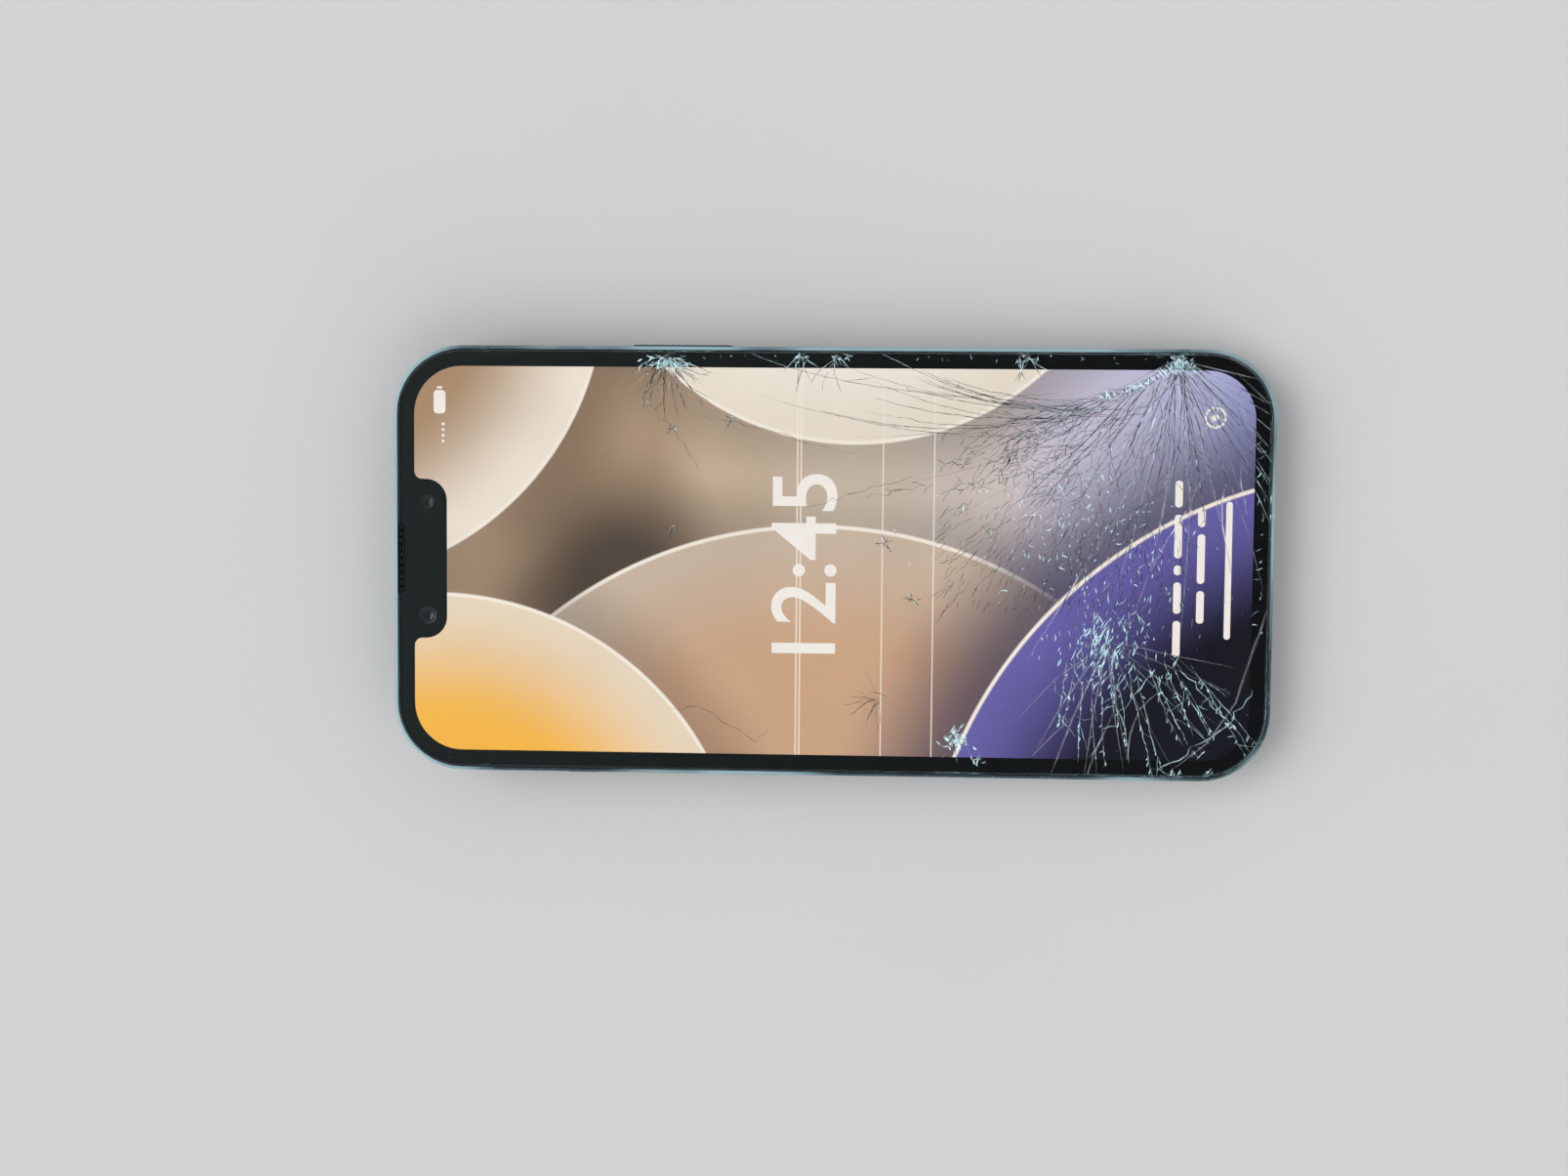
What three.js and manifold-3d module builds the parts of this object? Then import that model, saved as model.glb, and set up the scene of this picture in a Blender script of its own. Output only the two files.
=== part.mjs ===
// A flat-sided smartphone with a shattered cover glass, lying on its back.
// Millimetres, +X to the phone's right, +Y to its top, +Z up out of the screen.
// The phone is drawn level, with z = 0 on the outside of its back glass, and is then tipped onto
// its lower camera ring and its bottom edge, as it lies on a table.

import * as THREE from 'three';
import { mergeVertices } from 'three/addons/utils/BufferGeometryUtils.js';
import Module from 'manifold-3d';

const wasm = await Module();
wasm.setup();

// Overall body
const bodyLength = 146.7;
const bodyWidth = 71.5;
const bodyThickness = 7.8;
const bodyCorner = 11.5;

// Metal band
const bandEdgeRound = 0.5;
const railThickness = 2.2;
const midplateThickness = 0.6;
const frontGlassProud = 0.3;
const backGlassProud = 0.2;

// Glass and the glue under it
const frontGlassThickness = 0.8;
const backGlassThickness = 0.8;
const glassReveal = 0.75;
const glassGap = 0.15;
const glassEdgeRound = 0.25;
const bondLine = 0.12;
const sealThickness = 0.3;
const sealWidth = 0.6;
const sealInset = 1.1;
const backGlueThickness = 0.2;
const backGlueWidth = 0.8;
const backGlueInset = 0.5;

// Display
const screenBezel = 2.7;
const displayThickness = 1.1;
const displayBorder = 0.6;
const displayClearance = 0.3;
const displayCushion = 0.3;
const notchWidth = 26.8;
const notchDepth = 5.5;
const notchCorner = 3.6;
const notchFlare = 1.3;

// Earpiece and the parts in the notch
const earSlotWidth = 11.8;
const earSlotDepth = 1.0;
const earSlotCorner = 0.45;
const earMeshGap = 0.08;
const earMeshThickness = 0.55;
const earMeshSlots = 9;
const earMeshSlotWidth = 0.5;
const earSpeakerWidth = 12;
const frontCameraX = -9.6;
const frontCameraFromTop = 5.65;
const frontCameraSize = 5;
const frontCameraRadius = 1.7;
const notchBayWidth = 27;
const notchBayLength = 6.95;

// Keys on the rails, each placed by its distance from the top of the body
const keyHeight = 2.6;
const keyGap = 0.1;
const keyProud = 0.35;
const keyEdgeRound = 0.2;
const keyTravel = 0.3;
const keyLip = 0.4;
const keyLipThickness = 0.6;
const keyLipGap = 0.15;
const keyNubLength = 0.5;
const keyNubRadius = 0.9;
const sideButtonLength = 17;
const sideButtonFromTop = 48.35;
const volumeKeyLength = 10.5;
const volumeUpFromTop = 45.85;
const volumeDownFromTop = 60.85;
const ringSwitchLength = 5.8;
const ringSwitchHeight = 2.1;
const ringSwitchTravel = 1.1;
const ringSwitchLipHeight = 2.5;
const ringSwitchFromTop = 31.85;
const switchPlate = 0.4;
const switchLeg = 0.8;
const switchDome = 0.3;
const switchDomeRadius = 1.3;
const switchHeight = 2.7;

// Card tray
const trayFromTop = 82.85;
const trayLength = 16.8;
const trayHeight = 2.4;
const trayGap = 0.12;
const trayHeadDepth = 1.8;
const trayPlate = 0.9;
const trayPlateWidth = 14.6;
const trayPlateLength = 19.6;
const trayPinRadius = 0.6;
const trayPinOffset = 6.6;
const cardLength = 12.6;
const cardWidth = 9.1;
const cardCorner = 0.8;
const cardDepth = 0.6;
const cardLedge = 0.9;
const readerWall = 0.5;
const readerClearance = 0.25;

// Rear cameras
const plateauSize = 29;
const plateauMargin = 4.2;
const plateauCorner = 8.5;
const plateauHeight = 1.3;
const plateauEdgeRound = 0.4;
const ringHeight = 1.2;
const ringRadius = 6.4;
const ringFootRound = 0.3;
const ringNeckRadius = 5.8;
const ringBoreRadius = 5.2;
const ringSeatRadius = 5.55;
const windowRadius = 5.45;
const windowThickness = 0.65;
const windowRecess = 0.15;
const lensOffset = 6.3;
const cameraBaseSize = 12.4;
const barrelRadius = 4.8;
const barrelMouthRadius = 4.3;
const mainLensRadius = 2.7;
const wideLensRadius = 2.1;
const flashRadius = 2.8;
const micHoleRadius = 0.5;

// Bottom end
const portWidth = 8.94;
const portHeight = 3.2;
const portWall = 0.3;
const portGap = 0.13;
const portLength = 6.6;
const portRecess = 0.25;
const tongueWidth = 6.7;
const tongueThickness = 0.7;
const tongueRecess = 0.9;
const portBaseLength = 1.6;
const screwX = 8.1;
const screwHeadRadius = 0.8;
const screwShankRadius = 0.5;
const screwClearance = 0.12;
const screwHeadLength = 0.6;
const screwLength = 3.6;
const screwRecess = 0.3;
const soundHoleRadius = 0.75;
const soundHoleFirst = 11.9;
const soundHolePitch = 2.1;
const soundHoles = 6;

// Antenna splits in the long rails
const splitWidth = 1.6;
const splitFromEnd = 15.35;
const splitGap = 0.08;

// Inside the back
const bayClearance = 0.15;
const bottomBay = 19.35;
const boardWidth = 21.8;
const boardFromTop = 8.35;
const boardFromRail = 1.25;
const boardBottom = 1.6;
const boardThickness = 0.8;
const boardScrewRadius = 0.9;
const canSheet = 0.25;
const canInset = 2.2;
const batteryBottom = 1.45;
const batteryGap = 2;
const batteryFoot = 18;
const batteryEdgeRound = 0.6;
const terraceLength = 3.7;
const coilOuterRadius = 22;
const coilInnerRadius = 12;
const coilThickness = 0.4;
const coilY = -6;
const hapticWidth = 21;
const hapticLength = 10;
const speakerWidth = 21;
const speakerLength = 13.5;
const flexThickness = 0.14;
const displayFlexWidth = 8;

// The break in the cover glass: grooves from each impact, and flakes gone from its rim
const crackWidth = 0.2;
const crackDepth = 0.38;
const crackSeed = 11;
const crushRadius = 0.8;
const splinterLimit = 0.004;
const mainImpactFromBottom = 16.35;
const starImpactFromBottom = 100.3;
const smallImpactsFromBottom = [41.2, 78.3];
const crushX = -12.5;
const crushFromBottom = 27;
const pitX = -22.5;
const pitFromBottom = 65;
const flakeX = -29.2;
const flakeFromBottom = 52.2;

// Levels, from the back glass up
const bandBottom = backGlassProud;
const bandTop = bodyThickness - frontGlassProud;
const midHeight = (bandBottom + bandTop) / 2;
const frontGlassBottom = bodyThickness - frontGlassThickness;
const displayTop = frontGlassBottom - bondLine;
const displayBottom = displayTop - displayThickness;
const midplateTop = displayBottom - displayCushion;
const midplateBottom = midplateTop - midplateThickness;
const frontLedge = frontGlassBottom - 2 * bondLine - sealThickness;
const backLedge = backGlassThickness + 2 * bondLine + backGlueThickness;
const bayTop = midplateBottom - bayClearance;
const boardTop = boardBottom + boardThickness;
const plateauFace = -plateauHeight;
const ringFoot = plateauFace - ringHeight;

// Edges and outlines in plan
const sideX = bodyWidth / 2;
const topY = bodyLength / 2;
const railX = sideX - railThickness;
const railY = topY - railThickness;
const glassWidth = bodyWidth - 2 * glassReveal;
const glassLength = bodyLength - 2 * glassReveal;
const glassCorner = bodyCorner - glassReveal;
const panelInset = screenBezel - displayBorder;
const panelWidth = glassWidth - 2 * panelInset;
const panelLength = glassLength - 2 * panelInset;
const panelCorner = glassCorner - panelInset;
const plateauX = sideX - plateauMargin - plateauSize / 2;
const plateauY = topY - plateauMargin - plateauSize / 2;
const frontCameraY = topY - frontCameraFromTop;
const boardLeft = boardFromRail - railX;
const boardRight = boardLeft + boardWidth;
const boardTopY = topY - boardFromTop;
const bayY = bottomBay - topY;
const batteryFootY = bayY + batteryFoot;
const boardBottomY = batteryFootY + 3;
const trayY = topY - trayFromTop;
const trayPlateBottom = midHeight - 0.65;
const trayPlateTop = trayPlateBottom + trayPlate;
const sideButtonY = topY - sideButtonFromTop;
const volumeUpY = topY - volumeUpFromTop;
const volumeDownY = topY - volumeDownFromTop;
const ringSwitchY = topY - ringSwitchFromTop;
const displayFlexX = boardRight - 9.5;
const displayFlexY = trayY + 25;
const keyReach = keyLipGap + keyLipThickness + keyNubLength + keyTravel;
const keyDepth = keyReach + 0.05 + switchDome + switchPlate;

// Finishes
function finish(color, roughness, metalness) {
  return new THREE.MeshStandardMaterial({ color, roughness, metalness });
}

const anodised = finish(0x1d2830, 0.38, 0.85);
const coverGlass = finish(0x10161a, 0.06, 0.0);
const rearGlass = finish(0x121a20, 0.08, 0.0);
const displayFilm = finish(0x17151c, 0.25, 0.0);
const splitPlastic = finish(0x3f5563, 0.5, 0.0);
const blackRubber = finish(0x17181a, 0.8, 0.0);
const glueTape = finish(0x242424, 0.75, 0.0);
const lensGlass = finish(0x0a0d14, 0.05, 0.0);
const blackMetal = finish(0x1a1b1d, 0.4, 0.6);
const steel = finish(0x9a9ea2, 0.35, 0.9);
const copper = finish(0xb0703f, 0.4, 0.9);
const circuitBoard = finish(0x17321f, 0.55, 0.0);
const batteryFoil = finish(0x26282b, 0.55, 0.1);
const blackPlastic = finish(0x1b1c1e, 0.55, 0.0);
const amberFilm = finish(0x8a5a1e, 0.5, 0.0);
const flashYellow = finish(0xe8dfae, 0.3, 0.0);

// A rectangle with round corners, centred on (x, y)
function roundedRect(width, height, radius, x = 0, y = 0, Outline = THREE.Shape) {
  const dx = width / 2 - radius;
  const dy = height / 2 - radius;
  const outline = new Outline();
  outline.absarc(x + dx, y + dy, radius, 0, Math.PI / 2);
  outline.absarc(x - dx, y + dy, radius, Math.PI / 2, Math.PI);
  outline.absarc(x - dx, y - dy, radius, Math.PI, 1.5 * Math.PI);
  outline.absarc(x + dx, y - dy, radius, 1.5 * Math.PI, 2 * Math.PI);
  outline.closePath();
  return outline;
}

// A rounded rectangle given by its edges
function roundedSpan(x0, x1, y0, y1, radius, Outline = THREE.Shape) {
  return roundedRect(x1 - x0, y1 - y0, radius, (x0 + x1) / 2, (y0 + y1) / 2, Outline);
}

// A slot with half-round ends, its length along the first axis
function stadium(length, height, x = 0, y = 0) {
  return roundedRect(length, height, height / 2, x, y);
}

// The glass outline moved inwards
function insetOutline(inset, Outline = THREE.Shape) {
  return roundedRect(glassWidth - 2 * inset, glassLength - 2 * inset, glassCorner - inset, 0, 0, Outline);
}

// An outline given depth along z, its edges rounded off when asked
function slab(outline, bottom, top, round = 0, arcSteps = 2) {
  const geometry = new THREE.ExtrudeGeometry(outline, {
    depth: top - bottom - 2 * round,
    curveSegments: arcSteps,
    bevelEnabled: round > 0,
    bevelThickness: round,
    bevelSize: round,
    bevelOffset: -round,
    bevelSegments: round < 0.3 ? 1 : 2,
  });
  return geometry.translate(0, 0, bottom + round);
}

// An outline drawn in (y, z) and given depth along x
function sideSlab(outline, x0, x1, round = 0, arcSteps = 2) {
  const turn = new THREE.Matrix4().makeBasis(
    new THREE.Vector3(0, 1, 0),
    new THREE.Vector3(0, 0, 1),
    new THREE.Vector3(1, 0, 0),
  );
  return slab(outline, x0, x1, round, arcSteps).applyMatrix4(turn);
}

// An outline drawn in (x, z) and given depth along y
function endSlab(outline, y0, y1, round = 0, arcSteps = 3) {
  return slab(outline, -y1, -y0, round, arcSteps).rotateX(Math.PI / 2);
}

// A plain box given by its faces
function block(x0, x1, y0, y1, z0, z1) {
  const geometry = new THREE.BoxGeometry(x1 - x0, y1 - y0, z1 - z0);
  return geometry.translate((x0 + x1) / 2, (y0 + y1) / 2, (z0 + z1) / 2);
}

// A turned piece about a vertical axis at (x, y), from a profile of [radius, height] pairs
function turned(profile, x, y, segments = 20) {
  const points = profile.map(([radius, height]) => new THREE.Vector2(radius, height));
  return new THREE.LatheGeometry(points, segments).rotateX(Math.PI / 2).translate(x, y, 0);
}

// A round bar along z
function upright(radius, x, y, z0, z1, segments = 12) {
  const geometry = new THREE.CylinderGeometry(radius, radius, z1 - z0, segments);
  return geometry.rotateX(Math.PI / 2).translate(x, y, (z0 + z1) / 2);
}

// A round bar along y
function endBar(radius, x, z, y0, y1, segments = 14) {
  const geometry = new THREE.CylinderGeometry(radius, radius, y1 - y0, segments);
  return geometry.translate(x, (y0 + y1) / 2, z);
}

// A round bar along x
function sideBar(radius, x0, x1, y, z, segments = 14) {
  const geometry = new THREE.CylinderGeometry(radius, radius, x1 - x0, segments);
  return geometry.rotateZ(-Math.PI / 2).translate((x0 + x1) / 2, y, z);
}

// A piece drawn on the right rail at y = 0, put on either rail at its own place
function onRail(geometry, side, y) {
  if (side < 0) {
    geometry.rotateZ(Math.PI);
  }
  return geometry.translate(0, y, 0);
}

// A geometry as a solid that can be cut and joined
function solid(geometry) {
  const bare = geometry.index ? geometry.toNonIndexed() : geometry.clone();
  bare.deleteAttribute('normal');
  bare.deleteAttribute('uv');
  const merged = mergeVertices(bare, 1e-4);
  const corners = merged.index.array;
  const triangles = [];
  for (let i = 0; i < corners.length; i += 3) {
    const [a, b, c] = [corners[i], corners[i + 1], corners[i + 2]];
    if (a !== b && b !== c && c !== a) {
      triangles.push(a, b, c);
    }
  }
  const vertProperties = merged.attributes.position.array;
  const triVerts = new Uint32Array(triangles);
  return new wasm.Manifold(new wasm.Mesh({ numProp: 3, vertProperties, triVerts }));
}

function cut(base, ...tools) {
  return tools.reduce((left, tool) => left.subtract(solid(tool)), base);
}

function join(...pieces) {
  return pieces.map(solid).reduce((whole, piece) => whole.add(piece));
}

// A solid back as a geometry
function geometryOf(shape) {
  const mesh = shape.getMesh();
  const geometry = new THREE.BufferGeometry();
  geometry.setAttribute('position', new THREE.BufferAttribute(new Float32Array(mesh.vertProperties), 3));
  geometry.setIndex(new THREE.BufferAttribute(new Uint32Array(mesh.triVerts), 1));
  geometry.computeVertexNormals();
  return geometry;
}

// Metal band with its midplate, before anything is cut through the rails
function bandBlank() {
  const lip = glassReveal - glassGap;
  const seat = roundedRect(bodyWidth - 2 * lip, bodyLength - 2 * lip, bodyCorner - lip);
  const pocketWidth = panelWidth + 2 * displayClearance;
  const pocketLength = panelLength + 2 * displayClearance;
  const pocket = roundedRect(pocketWidth, pocketLength, panelCorner + displayClearance);
  const bay = roundedRect(2 * railX, 2 * railY, bodyCorner - railThickness);
  const outer = roundedRect(bodyWidth, bodyLength, bodyCorner);
  return cut(
    solid(slab(outer, bandBottom, bandTop, bandEdgeRound, 5)),
    slab(seat, frontLedge, bandTop + 1, 0, 5),
    slab(pocket, midplateTop, frontLedge + 1, 0, 4),
    slab(seat, bandBottom - 1, backLedge, 0, 5),
    slab(bay, backLedge - 1, midplateBottom, 0, 4),
  );
}

// The slice of a long rail that an antenna split takes up
function splitSlice(side, end, clearance) {
  const y = end * (topY - splitFromEnd);
  const half = splitWidth / 2 - clearance;
  const slice = block(railX + clearance, sideX + 1, -half, half, bandBottom - 1, bandTop + 1);
  return onRail(slice, side, y);
}

// Openings that one key needs: a slot through the rail, and room behind it for its lip and switch
function keyOpenings(side, y, length, height, endRadius) {
  const opening = roundedRect(length + 2 * keyGap, height + 2 * keyGap, endRadius + keyGap, 0, midHeight);
  const slot = sideSlab(opening, railX - 0.5, sideX + 1);
  const halfRoom = length / 2 + keyLip + switchLeg + 0.7;
  const halfTall = keyHeight / 2 + keyLip + 0.15;
  const inner = railX - keyDepth - 0.3;
  const room = block(inner, railX, -halfRoom, halfRoom, midHeight - halfTall, midHeight + halfTall);
  return [onRail(slot, side, y), onRail(room, side, y)];
}

function keyCuts() {
  const keyEnd = keyHeight / 2;
  const ringSlot = ringSwitchHeight + ringSwitchTravel;
  return [
    ...keyOpenings(1, sideButtonY, sideButtonLength, keyHeight, keyEnd),
    ...keyOpenings(-1, volumeUpY, volumeKeyLength, keyHeight, keyEnd),
    ...keyOpenings(-1, volumeDownY, volumeKeyLength, keyHeight, keyEnd),
    ...keyOpenings(-1, ringSwitchY, ringSwitchLength, ringSlot, ringSwitchHeight / 2),
  ];
}

// Openings in the bottom end: the port and the room for it, screw holes and sound holes
function bottomCuts() {
  const port = stadium(portWidth + 2 * portGap, portHeight + 2 * portGap, 0, midHeight);
  const halfPort = portWidth / 2 + 0.8;
  const cuts = [
    endSlab(port, -topY - 1, -railY + 0.5),
    block(-halfPort, halfPort, -railY, portLength - topY + 1, midHeight - 2.1, midplateTop + 0.1),
  ];
  for (const side of [-1, 1]) {
    const head = screwHeadRadius + screwClearance;
    const shank = screwShankRadius + screwClearance;
    const headEnd = screwRecess + screwHeadLength + screwClearance - topY;
    cuts.push(endBar(head, side * screwX, midHeight, -topY - 1, headEnd));
    cuts.push(endBar(shank, side * screwX, midHeight, -topY - 0.5, -topY + screwLength + 1));
    for (let i = 0; i < soundHoles; i += 1) {
      const x = side * (soundHoleFirst + i * soundHolePitch);
      cuts.push(endBar(soundHoleRadius, x, midHeight, -topY - 1, -railY + 0.5, 10));
    }
  }
  return cuts;
}

// Boss behind the bottom rail for one screw
function screwBoss(side) {
  const x = side * screwX;
  const inner = screwLength + 0.8 - topY;
  return block(x - 1.1, x + 1.1, -railY - 0.5, inner, midHeight - 1.1, midplateBottom + 0.2);
}

function metalFrame() {
  const blank = [-1, 1].reduce((whole, side) => whole.add(solid(screwBoss(side))), bandBlank());
  const trayOpening = stadium(trayLength + 2 * trayGap, trayHeight + 2 * trayGap, 0, midHeight);
  const trayHole = sideSlab(trayOpening, railX - 0.2, sideX + 1);
  const halfBay = notchBayWidth / 2;
  const notchBay = block(-halfBay, halfBay, railY - notchBayLength, railY, backLedge, midplateTop + 0.5);
  const earChannel = block(-5, 5, railY - 0.5, railY + 0.9, midplateBottom, frontLedge + 1);
  const flexOpening = roundedRect(2, displayFlexWidth + 1.2, 0.9, displayFlexX, displayFlexY);
  const flexSlot = slab(flexOpening, midplateBottom - 1, midplateTop + 1);
  const splits = [[1, 1], [1, -1], [-1, 1], [-1, -1]].map(([side, end]) => splitSlice(side, end, 0));
  return cut(
    blank,
    notchBay,
    earChannel,
    flexSlot,
    onRail(trayHole, -1, trayY),
    ...keyCuts(),
    ...bottomCuts(),
    ...splits,
  );
}

// Plastic insert that splits the band for its antennas
function antennaSplit(side, end) {
  return bandBlank().intersect(solid(splitSlice(side, end, splitGap)));
}

// Numbers that come out the same on every run
function seededNumbers(seed) {
  let state = seed;
  return () => {
    state = (state * 16807) % 2147483647;
    return state / 2147483647;
  };
}

// A crack line: it starts at an impact, bends steadily and wanders a little
function crackLine(random, from, angle, length, bend) {
  const stops = Math.max(2, Math.round(length / 10));
  const stride = length / stops;
  const points = [from];
  let heading = angle - bend / 2;
  for (let i = 1; i <= stops; i += 1) {
    const [x, y] = points[i - 1];
    heading += bend / stops + (random() - 0.5) * 0.18;
    points.push([x + stride * Math.cos(heading), y + stride * Math.sin(heading)]);
  }
  return points;
}

// A fan of crack lines from one impact
function crackFan(random, from, { first, last, rays, shortest, longest, bend }) {
  const lines = [];
  for (let i = 0; i < rays; i += 1) {
    const share = i / (rays - 1);
    const angle = THREE.MathUtils.degToRad(first + (last - first) * share) + (random() - 0.5) * 0.08;
    const length = THREE.MathUtils.lerp(longest, shortest, share) * (0.75 + 0.35 * random());
    const out = crushRadius * (1 + (i % 3));
    const start = [from[0] + out * Math.cos(angle), from[1] + out * Math.sin(angle)];
    lines.push(crackLine(random, start, angle, length, bend * (1 - share)));
  }
  return lines;
}

// Short cracks that join neighbouring lines of a fan, a set number of stops out from the impact
function crackTies(lines, stops) {
  const ties = [];
  for (let i = 0; i + 1 < lines.length; i += 1) {
    const near = lines[i][stops + (i % 2)];
    const far = lines[i + 1][stops];
    if (near && far) {
      const middle = [(near[0] + far[0]) / 2 - 0.5, (near[1] + far[1]) / 2 + 0.6];
      const past = (end) => [end[0] + 0.06 * (end[0] - middle[0]), end[1] + 0.06 * (end[1] - middle[1])];
      ties.push([past(near), middle, past(far)]);
    }
  }
  return ties;
}

// Every crack line in the cover glass
function breakLines() {
  const random = seededNumbers(crackSeed);
  const rim = glassWidth / 2 - 0.9;
  const main = crackFan(random, [rim, mainImpactFromBottom - topY], {
    first: 112, last: 252, rays: 17, shortest: 20, longest: 62, bend: -0.5,
  });
  const crushed = crackFan(random, [crushX, crushFromBottom - topY], {
    first: 128, last: 262, rays: 11, shortest: 21, longest: 25, bend: 0.25,
  });
  const star = crackFan(random, [rim, starImpactFromBottom - topY], {
    first: 112, last: 248, rays: 9, shortest: 6, longest: 9, bend: 0.3,
  });
  const pit = crackFan(random, [pitX, pitFromBottom - topY], {
    first: 20, last: 300, rays: 6, shortest: 3, longest: 4, bend: 0.2,
  });
  const cornerLine = [
    [-6, 0.5 - topY],
    [-17, 4.2 - topY],
    [-25.5, 7.1 - topY],
    [-31, 12.4 - topY],
    [-rim - 0.5, 17 - topY],
  ];
  const ties = [...crackTies(main, 1), ...crackTies(main, 2), ...crackTies(crushed, 1)];
  return [...main, ...crushed, ...star, ...pit, ...ties, cornerLine];
}

// The groove of one crack: a V cut that grows shallow towards the crack's tip
function crackGroove(points) {
  const last = points.length - 1;
  const route = points.map(([x, y], i) => {
    const rise = i === last ? 0.8 * crackDepth : 0;
    return new THREE.Vector3(x, y, bodyThickness + rise);
  });
  const above = 0.12;
  const half = (crackWidth / 2) * (1 + above / crackDepth);
  const section = new THREE.Shape([
    new THREE.Vector2(-above, -half),
    new THREE.Vector2(crackDepth, 0),
    new THREE.Vector2(-above, half),
  ]);
  return new THREE.ExtrudeGeometry(section, {
    extrudePath: new THREE.CatmullRomCurve3(route),
    steps: last,
    bevelEnabled: false,
  });
}

// A flake gone from the glass, as a faceted scoop
function flakeScoop(x, y, size, turn) {
  const scoop = new THREE.IcosahedronGeometry(size, 0);
  scoop.rotateX(turn).rotateZ(2 * turn).scale(0.8, 1.3, 0.45);
  return scoop.translate(x, y, bodyThickness + 0.05);
}

function flakeScoops() {
  const rim = glassWidth / 2 - 0.1;
  const scoops = [
    flakeScoop(rim, mainImpactFromBottom - topY, 1.5, 0.4),
    flakeScoop(rim, mainImpactFromBottom - topY + 3.1, 0.9, 1.1),
    flakeScoop(rim, starImpactFromBottom - topY, 1.1, 0.7),
    flakeScoop(flakeX, flakeFromBottom - topY, 0.9, 0.2),
    flakeScoop(-rim, mainImpactFromBottom - topY - 6, 1.0, 0.9),
  ];
  smallImpactsFromBottom.forEach((fromBottom, i) => {
    scoops.push(flakeScoop(rim, fromBottom - topY, 0.7 + 0.15 * i, 0.5 + i));
  });
  return scoops;
}

// Cover glass, still in one piece because its splinters stay bonded to the layer underneath
function frontGlass() {
  const pane = slab(insetOutline(0), frontGlassBottom, bodyThickness, glassEdgeRound, 5);
  const earSlot = roundedSpan(
    -earSlotWidth / 2, earSlotWidth / 2,
    glassLength / 2 - earSlotDepth, glassLength / 2 + 2,
    earSlotCorner,
  );
  const grooves = breakLines().map(crackGroove);
  const broken = cut(
    solid(pane),
    slab(earSlot, frontGlassBottom - 1, bodyThickness + 1),
    ...grooves,
    ...flakeScoops(),
  );
  // A splinter that is cut free on every side has fallen out
  const pieces = broken.simplify(splinterLimit).decompose();
  return pieces.reduce((largest, piece) => (piece.volume() > largest.volume() ? piece : largest));
}

// Outline of the display panel, with the notch at its top
function displayOutline() {
  const halfWidth = panelWidth / 2 - panelCorner;
  const halfLength = panelLength / 2 - panelCorner;
  const halfNotch = notchWidth / 2 - displayBorder;
  const top = panelLength / 2;
  const floor = top - notchDepth + notchCorner;
  const outline = new THREE.Shape();
  outline.absarc(halfWidth, halfLength, panelCorner, 0, Math.PI / 2);
  outline.absarc(halfNotch + notchFlare, top - notchFlare, notchFlare, Math.PI / 2, Math.PI);
  outline.absarc(halfNotch - notchCorner, floor, notchCorner, 0, -Math.PI / 2, true);
  outline.absarc(notchCorner - halfNotch, floor, notchCorner, -Math.PI / 2, -Math.PI, true);
  outline.absarc(-halfNotch - notchFlare, top - notchFlare, notchFlare, 0, Math.PI / 2);
  outline.absarc(-halfWidth, halfLength, panelCorner, Math.PI / 2, Math.PI);
  outline.absarc(-halfWidth, -halfLength, panelCorner, Math.PI, 1.5 * Math.PI);
  outline.absarc(halfWidth, -halfLength, panelCorner, 1.5 * Math.PI, 2 * Math.PI);
  outline.closePath();
  return outline;
}

function displayPanel() {
  return solid(slab(displayOutline(), displayBottom, displayTop, 0, 3));
}

// A flat ring that follows the glass outline
function outlineRing(inset, width, bottom, top) {
  const ring = insetOutline(inset);
  ring.holes.push(insetOutline(inset + width, THREE.Path));
  return solid(slab(ring, bottom, top, 0, 4));
}

function displaySeal() {
  return outlineRing(sealInset, sealWidth, frontLedge + bondLine, frontGlassBottom - bondLine);
}

function backAdhesive() {
  return outlineRing(backGlueInset, backGlueWidth, backGlassThickness + bondLine, backLedge - bondLine);
}

// Places on the camera plateau, counted in lens offsets from its centre
function onPlateau(columns, rows) {
  return [plateauX + columns * lensOffset, plateauY + rows * lensOffset];
}

// Back glass, with the camera plateau raised from it in one piece
function backGlass() {
  const plateau = roundedRect(plateauSize, plateauSize, plateauCorner, plateauX, plateauY);
  const whole = join(
    slab(insetOutline(0), 0, backGlassThickness, glassEdgeRound, 5),
    slab(plateau, plateauFace, 0.5, plateauEdgeRound, 4),
  );
  const hole = (columns, rows, radius) => {
    const [x, y] = onPlateau(columns, rows);
    return upright(radius, x, y, plateauFace - 1, 2, 20);
  };
  return cut(
    whole,
    hole(1, 1, ringNeckRadius + bondLine),
    hole(-1, -1, ringNeckRadius + bondLine),
    hole(-1, 1, flashRadius + bondLine),
    hole(1, -1, micHoleRadius),
  );
}

// Metal ring round one rear lens: a neck in the glass and a raised foot outside it
function cameraRing(columns, rows) {
  const [x, y] = onPlateau(columns, rows);
  const flange = plateauFace - bondLine;
  const seat = ringFoot + windowRecess + windowThickness + bondLine;
  return solid(turned([
    [ringBoreRadius, seat],
    [ringSeatRadius, seat],
    [ringSeatRadius, ringFoot],
    [ringRadius - ringFootRound, ringFoot],
    [ringRadius, ringFoot + ringFootRound],
    [ringRadius, flange],
    [ringNeckRadius, flange],
    [ringNeckRadius, 0.6],
    [ringBoreRadius, 0.6],
    [ringBoreRadius, seat],
  ], x, y));
}

// Clear window in one lens ring
function cameraWindow(columns, rows) {
  const [x, y] = onPlateau(columns, rows);
  const outer = ringFoot + windowRecess;
  return solid(turned([
    [0, outer],
    [windowRadius - 0.1, outer],
    [windowRadius, outer + 0.1],
    [windowRadius, outer + windowThickness],
    [0, outer + windowThickness],
  ], x, y));
}

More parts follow.
